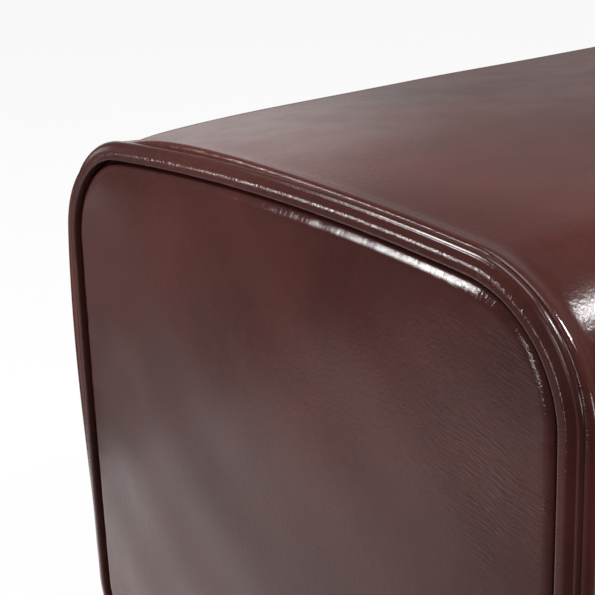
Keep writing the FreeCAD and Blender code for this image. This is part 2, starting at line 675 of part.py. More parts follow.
# Foam and wadding
board_room = group([end.makeOffsetShape(GAP, 0.01) for end in (board, mirrored(board))])
filling = prism(FOAM_INSET, -BOARD_FACE, BOARD_FACE)
reach_x = LENGTH / 2
seat_area = box(-reach_x, reach_x, -DEPTH, DEPTH, SEAT_FOAM_BOTTOM, SEAT_HEIGHT)
write("seat_foam", filling.common(seat_area).cut(board_room))
side_area = box(-reach_x, reach_x, SIDE_FOAM_FACE, DEPTH, LINER_BOTTOM + GAP, SEAT_FOAM_BOTTOM - GAP)
side_foam = filling.common(side_area).cut(board_room)
write("back_foam", side_foam)
write("front_foam", turned(side_foam))
roll_area = box(-reach_x, reach_x, BASE_RAIL_FACE + GAP, DEPTH, FOOT_HEIGHT, LINER_BOTTOM)
roll_room = rib_solid(0.0, 2 * reach_x)
roll_room.translate(vector(0, GAP, -GAP))
base_roll = filling.common(roll_area).cut(roll_room).cut(board_room)
write("back_base_roll", base_roll)
write("front_base_roll", turned(base_roll))
wadding = crowned_body(SEAM_DEPTH + 3, LEATHER + GAP).cut(prism(WADDING_DEPTH, -reach_x, reach_x))
wadding = wadding.cut(box(-reach_x, reach_x, -STRIP_SEAM, STRIP_SEAM, under, over))
write("wadding_wrap", wadding)
pad_back = EDGE_PLANE - BOARD_FACE - GAP
wadding_in = LEATHER + GAP
end_wadding = end_cushion(wadding_in, pad_back).cut(end_cushion(wadding_in + END_WADDING, pad_back + 1))
write("right_end_wadding", end_wadding)
write("left_end_wadding", mirrored(end_wadding))
end_foam = end_cushion(wadding_in + END_WADDING + GAP, pad_back)
write("right_end_foam", end_foam)
write("left_end_foam", mirrored(end_foam))
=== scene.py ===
import json
import logging
import math
from dataclasses import dataclass
from enum import Enum
from typing import Sequence

import bpy
import numpy as np
from mathutils import Matrix, Vector


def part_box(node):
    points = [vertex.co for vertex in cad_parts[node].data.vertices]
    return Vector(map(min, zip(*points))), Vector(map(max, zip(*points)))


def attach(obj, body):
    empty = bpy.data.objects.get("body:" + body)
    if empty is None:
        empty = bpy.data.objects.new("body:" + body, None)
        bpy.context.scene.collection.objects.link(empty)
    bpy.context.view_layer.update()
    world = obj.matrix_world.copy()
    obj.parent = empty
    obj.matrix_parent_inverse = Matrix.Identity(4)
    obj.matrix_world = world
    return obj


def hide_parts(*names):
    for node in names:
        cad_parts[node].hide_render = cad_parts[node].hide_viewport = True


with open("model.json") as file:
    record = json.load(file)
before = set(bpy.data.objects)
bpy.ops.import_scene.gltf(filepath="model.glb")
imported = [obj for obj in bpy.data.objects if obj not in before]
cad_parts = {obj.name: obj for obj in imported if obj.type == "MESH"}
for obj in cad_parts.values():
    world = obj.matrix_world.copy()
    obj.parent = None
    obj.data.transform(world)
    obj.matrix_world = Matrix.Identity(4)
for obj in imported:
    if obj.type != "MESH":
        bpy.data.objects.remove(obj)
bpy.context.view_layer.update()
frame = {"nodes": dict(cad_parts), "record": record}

LOG = logging.getLogger("bench")
MM = 0.001
BODY = "root"
WHITE = (1.0, 1.0, 1.0, 1.0)
NOISE_RANGE = (0.3, 0.7)
TO_FRONT = np.array([-1.0, 1.0])

Piece = bpy.types.Object
Material = bpy.types.Material
Socket = bpy.types.NodeSocket
Pair = tuple[float, float]
Triple = tuple[float, float, float]
Span = tuple[float, float, float, float]
Faces = list[tuple[int, ...]]


class End(Enum):
    """The two ends of the bench, named as its nodes are."""

    LEFT = -1
    RIGHT = 1

    @property
    def word(self) -> str:
        """Return the word that starts the end's node names."""
        return self.name.lower()


class Slot(Enum):
    """Material slots of the record that the pieces take."""

    LEATHER = "oxblood_leather"
    FILLER = "filler"
    WADDING = "wadding"
    FOAM = "foam"
    HESSIAN = "hessian"
    DUST_COVER = "dust_cover_cloth"
    STEEL = "steel"
    PLYWOOD = "plywood"
    PINE = "pine"
    BEECH = "beech"
    HARDBOARD = "hardboard"
    DARK_WOOD = "dark_wood"
    NYLON = "nylon"


# Form of the bench


@dataclass(frozen=True)
class Outline:
    """Rounded cross-section of the bench: the line of the wrap's outer face, away from the ends.

    All sizes are metres in the YZ plane.
    """

    half_depth: float
    bottom: float
    top: float
    corner: float = 78 * MM
    top_crown: float = 1713 * MM
    side_crown: float = 6000 * MM

    @property
    def middle(self) -> float:
        """Return the height half-way up the section."""
        return (self.bottom + self.top) / 2

    @property
    def side_centre(self) -> Pair:
        """Return the centre of the back side's crown."""
        return (self.half_depth - self.side_crown, self.middle)

    @property
    def top_centre(self) -> Pair:
        """Return the centre of the top's crown."""
        return (0.0, self.top - self.top_crown)

    def upper_centre(self) -> Pair:
        """Find the upper back corner, which touches both crowns from inside.

        Returns:
            The corner's centre.
        """
        first, second = self.top_centre, self.side_centre
        near = self.top_crown - self.corner
        far = self.side_crown - self.corner
        dy, dz = second[0] - first[0], second[1] - first[1]
        span = math.hypot(dy, dz)
        along = (near ** 2 - far ** 2 + span ** 2) / (2 * span)
        across = math.sqrt(near ** 2 - along ** 2)
        return (
            first[0] + (along * dy + across * dz) / span,
            first[1] + (along * dz - across * dy) / span,
        )

    def lower_centre(self) -> Pair:
        """Return the centre of the lower back corner."""
        z = self.bottom + self.corner
        reach = math.sqrt((self.side_crown - self.corner) ** 2 - (z - self.middle) ** 2)
        return (self.side_centre[0] + reach, z)

    def sample(self, step: float) -> tuple[np.ndarray, np.ndarray]:
        """Sample the section from the lower back corner over the top to the lower front corner.

        Args:
            step: Largest distance between two samples.

        Returns:
            Points and outward normals as arrays of (y, z).
        """
        low, high = self.lower_centre(), self.upper_centre()
        side, top = self.side_centre, self.top_centre
        at_low = math.atan2(low[1] - side[1], low[0] - side[0])
        at_high = math.atan2(high[1] - side[1], high[0] - side[0])
        at_top = math.atan2(high[1] - top[1], high[0] - top[0])
        runs = [
            (low, self.corner, -math.pi / 2, at_low),
            (side, self.side_crown, at_low, at_high),
            (high, self.corner, at_high, at_top),
            (top, self.top_crown, at_top, math.pi / 2),
        ]
        points, normals = [], []
        for centre, radius, start, stop in runs:
            count = max(2, math.ceil(radius * (stop - start) / step))
            angles = np.linspace(start, stop, count, endpoint=False)
            facing = np.stack([np.cos(angles), np.sin(angles)], axis=1)
            normals.append(facing)
            points.append(np.array(centre) + radius * facing)
        points.append(np.array([[0.0, self.top]]))
        normals.append(np.array([[0.0, 1.0]]))
        back, out = np.concatenate(points), np.concatenate(normals)
        return (
            np.concatenate([back, back[-2::-1] * TO_FRONT]),
            np.concatenate([out, out[-2::-1] * TO_FRONT]),
        )

    def loop(self, step: float) -> tuple[np.ndarray, np.ndarray]:
        """Sample the whole closed section, the flat underside included.

        Args:
            step: Largest distance between two samples.

        Returns:
            Points and outward normals as arrays of (y, z), starting under the middle.
        """
        points, normals = self.sample(step)
        edge = points[0, 0]
        count = math.ceil(edge / step)
        under = np.linspace(0.0, edge, count, endpoint=False)
        first = np.stack([under, np.full(count, self.bottom)], axis=1)
        last = first[:0:-1] * TO_FRONT
        down = np.array([[0.0, -1.0]])
        return (
            np.concatenate([first, points, last]),
            np.concatenate([np.repeat(down, count, 0), normals, np.repeat(down, count - 1, 0)]),
        )


@dataclass(frozen=True)
class SeamForm:
    """Sizes of the end seam, set in from the wrap's face and back from the end panel's edge."""

    edge_plane: float
    dome: float = 10 * MM
    groove_inset: float = 13 * MM
    panel_inset: float = 15.4 * MM
    panel_roll: float = 7.5 * MM
    panel_edge: float = 1.8 * MM
    panel_shoulder: float = 12 * MM
    panel_turns: Pair = (math.radians(38), math.radians(10))
    wrap_depth: float = 9.2 * MM
    wrap_roll: float = 4.2 * MM
    wrap_ridge: float = 3.3 * MM
    ridge_reach: float = 8 * MM
    draw_in: float = 4.4 * MM
    draw_reach: float = 48 * MM
    welt_offset: float = 0.9 * MM
    welt_width: float = 11.5 * MM
    welt_crest: float = 1.2 * MM
    welt_crest_share: float = 0.45
    welt_rise: float = math.radians(7)
    welt_fall: float = math.radians(42)
    welt_lip: float = 1.8 * MM
    welt_bead: float = 5 * MM
    welt_dip: float = 1 * MM
    welt_turn: float = math.radians(8)
    welt_edge: float = 2.4 * MM
    welt_foot: float = 1.2 * MM
    welt_back: float = 7.2 * MM
    leather: float = 1.2 * MM

    def rolled(self, rows: int) -> np.ndarray:
        """Return the panel's rolled edge, from the groove to the dome.

        A tight edge turns into a broad shoulder, which ends at the dome's own slope.

        Args:
            rows: Number of samples on edge and shoulder together.

        Returns:
            Points as rows of (inset past the panel's edge, level).
        """
        turn, last = self.panel_turns
        bends = [(self.panel_edge, math.pi / 2, turn), (self.panel_shoulder, turn, last)]
        points = [np.zeros(2)]
        for radius, begin, finish in bends:
            start = points[-1] + radius * np.array([math.sin(begin), -math.cos(begin)])
            for angle in np.linspace(begin, finish, rows // 2)[1:]:
                points.append(start + radius * np.array([-math.sin(angle), math.cos(angle)]))
        path = np.array(points)
        path[:, 1] -= path[-1, 1]
        return np.concatenate([[[0.0, -self.panel_roll]], path])

    def ridge(self, depth: np.ndarray) -> np.ndarray:
        """Return how far the wrap's ridge stands up at a depth back from the end panel's edge."""
        behind = np.maximum(depth - self.wrap_depth, 0)
        return (self.draw_in + self.wrap_ridge) * np.exp(-((behind / self.ridge_reach) ** 2))

    def drawn(self, depth: np.ndarray) -> np.ndarray:
        """Return how far in the wrap lies at a depth back from the panel's edge, ridge included."""
        valley = self.draw_in * np.exp(-(depth - self.wrap_depth) / self.draw_reach)
        return valley - self.ridge(depth)


def bench_form() -> tuple[Outline, SeamForm]:
    """Read the bench's sizes from the frame.

    Returns:
        The cross-section and the end seam's sizes.
    """
    low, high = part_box("leather_wrap")
    panel_low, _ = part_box("left_end_panel")
    outline = Outline(half_depth=high[1], bottom=low[2], top=high[2])
    return outline, SeamForm(edge_plane=-panel_low[0] - SeamForm.dome)


# Mesh helpers


def waves(points: np.ndarray, seed: int, length: float, count: int = 9) -> np.ndarray:
    """Return a smooth random height at each point, about -1 to 1, made of crossing waves.

    Args:
        points: Places as rows of coordinates.
        seed: Seed of the waves' directions and phases.
        length: Mean wave length in the points' own units.
        count: How many waves cross.

    Returns:
        One height for each point.
    """
    random = np.random.RandomState(seed)
    total = np.zeros(len(points))
    for _ in range(count):
        heading = random.normal(size=points.shape[1])
        heading /= np.linalg.norm(heading)
        reach = length * random.uniform(0.6, 1.6)
        total += np.sin(points @ heading * (2 * math.pi / reach) + random.uniform(0, 2 * math.pi))
    return total / math.sqrt(count)


def run_length(points: np.ndarray) -> np.ndarray:
    """Return the length of a line of points up to each of them."""
    return np.concatenate([[0], np.cumsum(np.linalg.norm(np.diff(points, axis=0), axis=1))])


def grid_normals(grid: np.ndarray, ring: bool) -> np.ndarray:
    """Return unit normals of a grid of points, by central differences.

    Args:
        grid: Points as (row, column, xyz).
        ring: Whether the last column meets the first.

    Returns:
        Unit normals in the same layout.
    """
    down = np.gradient(grid, axis=0)
    if ring:
        along = (np.roll(grid, -1, axis=1) - np.roll(grid, 1, axis=1)) / 2
    else:
        along = np.gradient(grid, axis=1)
    normal = np.cross(along, down)
    length = np.linalg.norm(normal, axis=2, keepdims=True)
    return normal / np.maximum(length, 1e-12)


def grid_faces(rows: int, columns: int, ring: bool, flip: bool, start: int = 0) -> Faces:
    """Return the quads of a grid of vertices.

    Args:
        rows: Number of rows.
        columns: Number of columns.
        ring: Whether the last column meets the first.
        flip: Whether the quads turn the other way.
        start: Index of the grid's first vertex.

    Returns:
        Quads as tuples of vertex indices.
    """
    index = start + np.arange(rows * columns).reshape(rows, columns)
    right = np.roll(index, -1, axis=1) if ring else index[:, 1:]
    left = index if ring else index[:, :-1]
    quads = np.stack([left[:-1], right[:-1], right[1:], left[1:]], axis=-1).reshape(-1, 4)
    if flip:
        quads = quads[:, ::-1]
    return [tuple(quad) for quad in quads.tolist()]


def add_object(name: str, data: bpy.types.ID) -> Piece:
    """Add an object to the scene and return it."""
    piece = bpy.data.objects.new(name, data)
    bpy.context.scene.collection.objects.link(piece)
    return piece


def mesh_object(name: str, points: np.ndarray, faces: Faces, seam: np.ndarray) -> Piece:
    """Make a smooth-shaded object with its seam coordinates as an attribute.

    Args:
        name: Name of the piece.
        points: Vertex positions.
        faces: Faces as tuples of vertex indices.
        seam: For each vertex, metres along the seam, metres from it, and the share of creasing.

    Returns:
        The new object, linked to the scene.
    """
    mesh = bpy.data.meshes.new(name)
    mesh.from_pydata(points.tolist(), [], faces)
    mesh.update()
    mesh.polygons.foreach_set("use_smooth", np.ones(len(mesh.polygons), dtype=bool))
    layer = mesh.attributes.new("seam", "FLOAT_VECTOR", "POINT")
    layer.data.foreach_set("vector", np.asarray(seam, dtype=np.float32).ravel())
    return add_object(name, mesh)


def shell_object(
    name: str,
    grid: np.ndarray,
    seam: np.ndarray,
    thickness: float,
    ring: bool,
    flip: bool,
    pole: bool = False,
) -> Piece:
    """Make a closed skin of even thickness from the grid of its outer face.

    Args:
        name: Name of the piece.
        grid: Outer face as (row, column, xyz).
        seam: Seam coordinates in the same layout.
        thickness: Thickness of the skin, added behind the outer face.
        ring: Whether the last column meets the first.
        flip: Whether the grid's own normals point inwards.
        pole: Whether the last row closes on one point.

    Returns:
        The skin as an object.
    """
    rows, columns = grid.shape[:2]
    normal = grid_normals(grid, ring) * (-1 if flip else 1)
    inner = grid - normal * thickness
    count = rows * columns
    points = np.concatenate([grid.reshape(-1, 3), inner.reshape(-1, 3)])
    marks = np.concatenate([seam.reshape(-1, 3), seam.reshape(-1, 3)])
    faces = grid_faces(rows, columns, ring, flip)
    faces += grid_faces(rows, columns, ring, not flip, count)
    index = np.arange(count).reshape(rows, columns)
    rims = [index[0]]
    if not ring:
        rims = [np.concatenate([index[0], index[1:, -1], index[-1, -2::-1], index[-2:0:-1, 0]])]
    elif not pole:
        rims.append(index[-1][::-1])
    for rim in rims:
        for a, b in zip(rim, np.roll(rim, -1)):
            quad = (int(b), int(a), int(a) + count, int(b) + count)
            faces.append(quad[::-1] if flip else quad)
    if pole:
        tips = np.stack([grid[-1].mean(axis=0), inner[-1].mean(axis=0)])
        points = np.concatenate([points, tips])
        marks = np.concatenate([marks, seam[-1].mean(axis=0, keepdims=True).repeat(2, axis=0)])
        for a, b in zip(index[-1], np.roll(index[-1], -1)):
            outer_face = (int(a), int(b), 2 * count)
            inner_face = (int(b) + count, int(a) + count, 2 * count + 1)
            faces.append(outer_face[::-1] if flip else outer_face)
            faces.append(inner_face[::-1] if flip else inner_face)
    return mesh_object(name, points, faces, marks)


# Finishes


class Nodes:
    """Short hand for building one node tree."""

    def __init__(self, tree: bpy.types.NodeTree) -> None:
        """Keep the tree and clear it."""
        self.tree = tree
        tree.nodes.clear()

    def add(self, kind: str, inputs: dict[str, object] | None = None, **settings: object) -> bpy.types.Node:
        """Add a node, set its properties and its unlinked or linked inputs.

        Args:
            kind: Blender's name of the node type.
            inputs: Values or output sockets by input name or number.
            settings: Properties of the node.

        Returns:
            The new node.
        """
        node = self.tree.nodes.new(kind)
        for key, value in settings.items():
            setattr(node, key, value)
        for key, value in (inputs or {}).items():
            socket = node.inputs[key]
            if isinstance(value, Socket):
                self.tree.links.new(value, socket)
            else:
                socket.default_value = value
        return node

    def math(self, operation: str, first: object, second: object) -> Socket:
        """Add a Math node and return its output."""
        node = self.add("ShaderNodeMath", {0: first, 1: second}, operation=operation)
        return node.outputs[0]

    def blend(self, first: object, second: object, share: float) -> Socket:
        """Return the sum of two values, the second at its share and the first at the rest."""
        rest = self.math("MULTIPLY", first, 1 - share)
        return self.math("ADD", rest, self.math("MULTIPLY", second, share))

    def noise(self, vector: object, scale: float, detail: float, roughness: float = 0.5) -> Socket:
        """Add a noise texture and return its value."""
        sockets = {"Vector": vector, "Scale": scale, "Detail": detail, "Roughness": roughness}
        return self.add("ShaderNodeTexNoise", sockets).outputs[0]

    def mapped(self, vector: object, scale: Sequence[float]) -> Socket:
        """Add a Mapping node and return its vector."""
        return self.add("ShaderNodeMapping", {"Vector": vector, "Scale": scale}).outputs[0]

    def ramp(self, factor: object, stops: Sequence[tuple[float, Sequence[float]]]) -> Socket:
        """Add a colour ramp.

        Args:
            factor: Value that runs along the ramp.
            stops: Places on the ramp, each with its colour.

        Returns:
            The ramp's colour.
        """
        node = self.add("ShaderNodeValToRGB", {"Fac": factor})
        elements = node.color_ramp.elements
        while len(elements) < len(stops):
            elements.new(1.0)
        for element, (place, colour) in zip(elements, stops):
            element.position = place
            element.color = (*colour, 1.0)
        return node.outputs["Color"]

    def span(self, value: object, low: float, high: float, to_low: float, to_high: float) -> Socket:
        """Add a clamped Map Range node and return its value."""
        sockets = {"Value": value, "From Min": low, "From Max": high, "To Min": to_low, "To Max": to_high}
        return self.add("ShaderNodeMapRange", sockets, interpolation_type="SMOOTHSTEP").outputs[0]

    def bump(self, height: object, strength: float, distance: float, under: object | None = None) -> Socket:
        """Add a Bump node.

        Args:
            height: Height of the relief.
            strength: Strength of the node.
            distance: Metres that a height of 1 stands for.
            under: Normal that the relief lies on.

        Returns:
            The new normal.
        """
        sockets = {"Height": height, "Strength": strength, "Distance": distance}
        if under is not None:
            sockets["Normal"] = under
        return self.add("ShaderNodeBump", sockets).outputs[0]


def new_material(name: str) -> tuple[Material, Nodes]:
    """Return an empty node material and the short hand for its tree."""
    material = bpy.data.materials.new(name)
    material.use_nodes = True
    return material, Nodes(material.node_tree)


class Finish:
    """A procedural finish in Object coordinates; each kind says what goes into its shader."""

    name: str

    def inputs(self, nodes: Nodes, place: Socket) -> dict[str, object]:
        """Return the shader's inputs by name."""
        raise NotImplementedError

    def material(self) -> Material:
        """Build the material.

        Returns:
            The finished material.
        """
        material, nodes = new_material(self.name)
        place = nodes.add("ShaderNodeTexCoord").outputs["Object"]
        shader = nodes.add("ShaderNodeBsdfPrincipled", self.inputs(nodes, place))
        nodes.add("ShaderNodeOutputMaterial", {"Surface": shader.outputs[0]})
        return material


@dataclass(frozen=True)
class LeatherFinish(Finish):
    """Glossy pull-up leather: mottled oxblood, fine grain, creases that follow the seams.

    Zones are metres from the seam.
    """

    name: str
    deep: Triple = (0.031, 0.0084, 0.0068)
    warm: Triple = (0.056, 0.0148, 0.0118)
    roughness: Pair = (0.16, 0.24)
    taut: float = 0.09
    taut_sheen: float = 0.7
    sheen: float = 0.48
    taut_zone: Pair = (8 * MM, 22 * MM)
    grain: float = 0.32
    grain_scale: float = 420.0
    grain_height: float = 0.6 * MM
    grain_zone: Pair = (8 * MM, 30 * MM)
    taut_grain: float = 0.15
    pucker: float = 0.4
    pucker_scale: Triple = (620.0, 70.0, 0.0)
    pucker_height: float = 1 * MM
    pucker_zone: Pair = (0.0, 14 * MM)
    crease: float = 1.0
    crease_scale: Triple = (60.0, 90.0, 620.0)
    crease_height: float = 0.8 * MM
    crease_waver: float = 9 * MM
    fan_centre: Triple = (0.0, -50 * MM, 300 * MM)
    fan_heights: Pair = (120 * MM, 360 * MM)
    fan_turns: Pair = (math.radians(8), math.radians(-16))

    def inputs(self, nodes: Nodes, place: Socket) -> dict[str, object]:
        """Make the leather smooth and glossy beside the seam, softer away from it.

        Args:
            nodes: The material's tree.
            place: Object coordinates.

        Returns:
            The shader's inputs by name.
        """
        seam = nodes.add("ShaderNodeAttribute", attribute_name="seam").outputs["Vector"]
        _, away, share = nodes.add("ShaderNodeSeparateXYZ", {"Vector": seam}).outputs
        blur = nodes.span(nodes.noise(place, 34.0, 3.0), *NOISE_RANGE, *self.roughness)
        tight = nodes.span(away, *self.taut_zone, self.taut, 1.0)
        mottling = nodes.noise(place, 6.5, 4.0, 0.6)
        tone = nodes.blend(mottling, nodes.noise(place, 210.0, 3.0, 0.6), 0.2)
        return {
            "Base Color": nodes.ramp(tone, [(0.36, self.deep), (0.66, self.warm)]),
            "Roughness": nodes.math("MINIMUM", blur, tight),
            "Normal": self.relief(nodes, place, seam, away, share),
            "IOR": 1.25,
            "Specular IOR Level": nodes.span(away, *self.taut_zone, self.taut_sheen, self.sheen),
        }

    def relief(self, nodes: Nodes, place: Socket, seam: Socket, away: Socket, share: Socket) -> Socket:
        """Stack grain, puckers across the seam and fine creases.

        Args:
            nodes: The material's tree.
            place: Object coordinates.
            seam: Seam coordinates.
            away: Metres from the seam.
            share: Share of creasing.

        Returns:
            The shading normal.
        """
        grain = nodes.noise(place, self.grain_scale, 4.0, 0.62)
        grain = nodes.math("MULTIPLY", grain, nodes.span(away, *self.grain_zone, self.taut_grain, 1.0))
        normal = nodes.bump(grain, self.grain, self.grain_height)
        lines = nodes.noise(nodes.mapped(seam, self.pucker_scale), 1.0, 3.0, 0.65)
        lines = nodes.math("MULTIPLY", lines, nodes.span(away, *self.pucker_zone, 1.0, 0.0))
        normal = nodes.bump(lines, self.pucker, self.pucker_height, normal)
        folds = nodes.noise(nodes.mapped(self.fanned(nodes, place), self.crease_scale), 1.0, 3.0, 0.6)
        tufts = nodes.span(nodes.noise(place, 22.0, 2.0), 0.38, 0.58, 0.35, 1.0)
        folds = nodes.math("MULTIPLY", folds, nodes.math("MULTIPLY", share, tufts))
        return nodes.bump(folds, self.crease, self.crease_height, normal)

    def fanned(self, nodes: Nodes, place: Socket) -> Socket:
        """Return the coordinates that the creases run along.

        Args:
            nodes: The material's tree.
            place: Object coordinates.

        Returns:
            The coordinates, wavering and turned more with the height.
        """
        noise = nodes.add("ShaderNodeTexNoise", {"Vector": place, "Scale": 40.0, "Detail": 2.0})
        waver = {0: noise.outputs["Color"], 1: (self.crease_waver,) * 3, 2: place}
        bent = nodes.add("ShaderNodeVectorMath", waver, operation="MULTIPLY_ADD")
        height = nodes.add("ShaderNodeSeparateXYZ", {"Vector": place}).outputs["Z"]
        fan = {
            "Vector": bent.outputs[0],
            "Center": self.fan_centre,
            "Angle": nodes.span(height, *self.fan_heights, *self.fan_turns),
        }
        return nodes.add("ShaderNodeVectorRotate", fan, rotation_type="X_AXIS").outputs[0]


@dataclass(frozen=True)
class PlainFinish(Finish):
    """A finish of two colours, with a roughness that varies and one relief.

    Stops are the tones of the dark and the light colour, relief is strength and height.
    """

    name: str
    light: Triple
    dark: Triple
    stops: Pair
    roughness: Pair
    relief: Pair
    metallic: float = 0.0
    coat: float = 0.0

    def textures(self, nodes: Nodes, place: Socket) -> tuple[Socket, Socket, Socket]:
        """Return the textures of tone, wear and relief."""
        raise NotImplementedError

    def inputs(self, nodes: Nodes, place: Socket) -> dict[str, object]:
        """Give the textures their colours, roughness and height.

        Args:
            nodes: The material's tree.
            place: Object coordinates.

        Returns:
            The shader's inputs by name.
        """
        tone, wear, height = self.textures(nodes, place)
        colours = zip(self.stops, (self.dark, self.light))
        return {
            "Base Color": nodes.ramp(tone, list(colours)),
            "Roughness": nodes.span(wear, *NOISE_RANGE, *self.roughness),
            "Normal": nodes.bump(height, *self.relief),
            "Metallic": self.metallic,
            "Coat Weight": self.coat,
        }


@dataclass(frozen=True)
class TimberFinish(PlainFinish):
    """Wood with grain along one axis: rings stretched along the board, pores and a soft sheen."""

    stops: Pair = (0.36, 0.64)
    roughness: Pair = (0.49, 0.63)
    relief: Pair = (0.25, 0.3 * MM)
    along: Triple = (3.0, 55.0, 55.0)
    pore_pitch: float = 12.0

    def textures(self, nodes: Nodes, place: Socket) -> tuple[Socket, Socket, Socket]:
        """Return rings with pores as the tone, and the pores alone."""
        rings = nodes.noise(nodes.mapped(place, self.along), 1.0, 5.0, 0.6)
        fine = tuple(self.pore_pitch * scale for scale in self.along)
        pores = nodes.noise(nodes.mapped(place, fine), 1.0, 2.0)
        return nodes.blend(rings, pores, 0.2), pores, pores


@dataclass(frozen=True)
class ClothFinish(PlainFinish):
    """Plain woven cloth, in threads of one pitch."""

    stops: Pair = (0.2, 0.75)
    roughness: Pair = (0.77, 0.91)
    relief: Pair = (0.4, 0.4 * MM)
    threads: float = 2600.0

    def textures(self, nodes: Nodes, place: Socket) -> tuple[Socket, Socket, Socket]:
        """Cross two bands of threads and add fuzz.

        Args:
            nodes: The material's tree.
            place: Object coordinates.

        Returns:
            The weave with fuzz as the tone, the fuzz and the weave.
        """
        turns = {"Vector": place, "Scale": self.threads / (2 * math.pi)}
        bands = [nodes.add("ShaderNodeTexWave", turns, bands_direction=axis) for axis in "XY"]
        weave = nodes.math("MULTIPLY", *(band.outputs["Fac"] for band in bands))
        fuzz = nodes.noise(place, 55.0, 4.0, 0.6)
        return nodes.blend(weave, fuzz, 0.6), fuzz, weave


@dataclass(frozen=True)
class FoamFinish(PlainFinish):
    """Open foam, fibre or cord filling: soft cells at one scale."""

    stops: Pair = (0.2, 0.7)
    roughness: Pair = (0.85, 0.95)
    relief: Pair = (0.5, 0.6 * MM)
    cells: float = 700.0

    def textures(self, nodes: Nodes, place: Socket) -> tuple[Socket, Socket, Socket]:
        """Return shaded cells as the tone, the shade and the cells."""
        cells = nodes.add("ShaderNodeTexVoronoi", {"Vector": place, "Scale": self.cells})
        pits = cells.outputs["Distance"]
        shade = nodes.noise(place, 9.0, 3.0)
        return nodes.blend(pits, shade, 0.5), shade, pits


@dataclass(frozen=True)
class MetalFinish(PlainFinish):
    """Drawn steel wire and fasteners: fine lengthwise scratches and dull patches."""

    light: Triple = (0.56, 0.56, 0.54)
    dark: Triple = (0.36, 0.35, 0.33)
    stops: Pair = (0.35, 0.65)
    roughness: Pair = (0.42, 0.28)
    relief: Pair = (0.15, 0.2 * MM)
    metallic: float = 1.0
    scratches: Triple = (90.0, 900.0, 900.0)

    def textures(self, nodes: Nodes, place: Socket) -> tuple[Socket, Socket, Socket]:
        """Return the patches as tone and wear, and the scratches."""
        patches = nodes.noise(place, 60.0, 4.0, 0.6)
        return patches, patches, nodes.noise(nodes.mapped(place, self.scratches), 1.0, 2.0)


@dataclass(frozen=True)
class PlasticFinish(PlainFinish):
    """Moulded nylon: near black with a fine spark texture."""

    light: Triple = (0.055, 0.053, 0.05)
    dark: Triple = (0.03, 0.03, 0.03)
    stops: Pair = (0.45, 0.7)
    roughness: Pair = (0.45, 0.6)
    relief: Pair = (0.2, 0.2 * MM)
    spark: float = 1800.0

    def textures(self, nodes: Nodes, place: Socket) -> tuple[Socket, Socket, Socket]:
        """Return the scuffs as tone and wear, and the spark texture."""
        scuffs = nodes.noise(place, 150.0, 4.0, 0.65)
        return scuffs, scuffs, nodes.noise(place, self.spark, 2.0)


class Wardrobe:
    """All finishes of the bench, made once and shared by slot."""

    def __init__(self) -> None:
        """Make one material for each slot, and the leather's three cuts; the panel's and the welt's cuts
        are darker copies of the wrap's leather, painted shade.
        """
        finishes = {
            Slot.FILLER: FoamFinish("welt_filler", (0.74, 0.68, 0.56), (0.5, 0.44, 0.34), cells=1200.0),
            Slot.WADDING: FoamFinish("fibre_wadding", (0.86, 0.86, 0.84), (0.68, 0.68, 0.66), cells=350.0),
            Slot.FOAM: FoamFinish("cream_foam", (0.82, 0.76, 0.52), (0.6, 0.54, 0.34), cells=700.0),
            Slot.HESSIAN: ClothFinish("hessian", (0.46, 0.34, 0.19), (0.22, 0.15, 0.075), threads=2600.0),
            Slot.DUST_COVER: ClothFinish(
                "black_dust_cloth", (0.04, 0.04, 0.042), (0.016, 0.016, 0.017), threads=5200.0
            ),
            Slot.STEEL: MetalFinish("drawn_steel"),
            Slot.PLYWOOD: TimberFinish(
                "birch_ply",
                (0.62, 0.47, 0.29),
                (0.42, 0.29, 0.16),
                roughness=(0.54, 0.68),
                along=(30.0, 30.0, 260.0),
            ),
            Slot.PINE: TimberFinish(
                "sawn_pine", (0.66, 0.48, 0.27), (0.45, 0.29, 0.14), roughness=(0.56, 0.7)
            ),
            Slot.BEECH: TimberFinish("beech_dowel", (0.6, 0.41, 0.25), (0.44, 0.28, 0.16)),
            Slot.HARDBOARD: TimberFinish(
                "hardboard",
                (0.26, 0.15, 0.075),
                (0.15, 0.08, 0.04),
                roughness=(0.54, 0.68),
                along=(140.0, 140.0, 140.0),
            ),
            Slot.DARK_WOOD: TimberFinish(
                "stained_foot_wood",
                (0.042, 0.021, 0.013),
                (0.013, 0.007, 0.005),
                roughness=(0.28, 0.42),
                along=(55.0, 55.0, 6.0),
                coat=0.3,
            ),
            Slot.NYLON: PlasticFinish("black_nylon"),
        }
        self.by_slot = {slot: finish.material() for slot, finish in finishes.items()}
        self.wrap = LeatherFinish("oxblood_wrap_leather", pucker=0.5).material()
        # The panel's cut is the wrap's leather painted darker: painted shade that offsets the stronger lamp
        # light falling on the end.
        self.panel = LeatherFinish(
            "oxblood_panel_leather_painted_shade",
            deep=(0.025, 0.0072, 0.0062),
            warm=(0.045, 0.013, 0.0108),
            sheen=0.74,
            pucker=0.25,
        ).material()
        # The welt's cut is the wrap's leather painted darker: painted shade for a band that catches less
        # sheen.
        self.welt = LeatherFinish(
            "oxblood_welt_leather_painted_shade",
            deep=(0.025, 0.0072, 0.006),
            warm=(0.045, 0.0125, 0.0102),
            pucker=0.6,
            crease=0.0,
        ).material()
        self.by_slot[Slot.LEATHER] = self.wrap

    def dress_frame(self) -> None:
        """Give every node of the frame the material of its slot."""
        slots = {row["node"]: Slot(row["material_slot"]) for row in frame["record"]["subparts"]}
        for name, node in frame["nodes"].items():
            node.data.materials.clear()
            node.data.materials.append(self.by_slot[slots[name]])


# Leather pieces


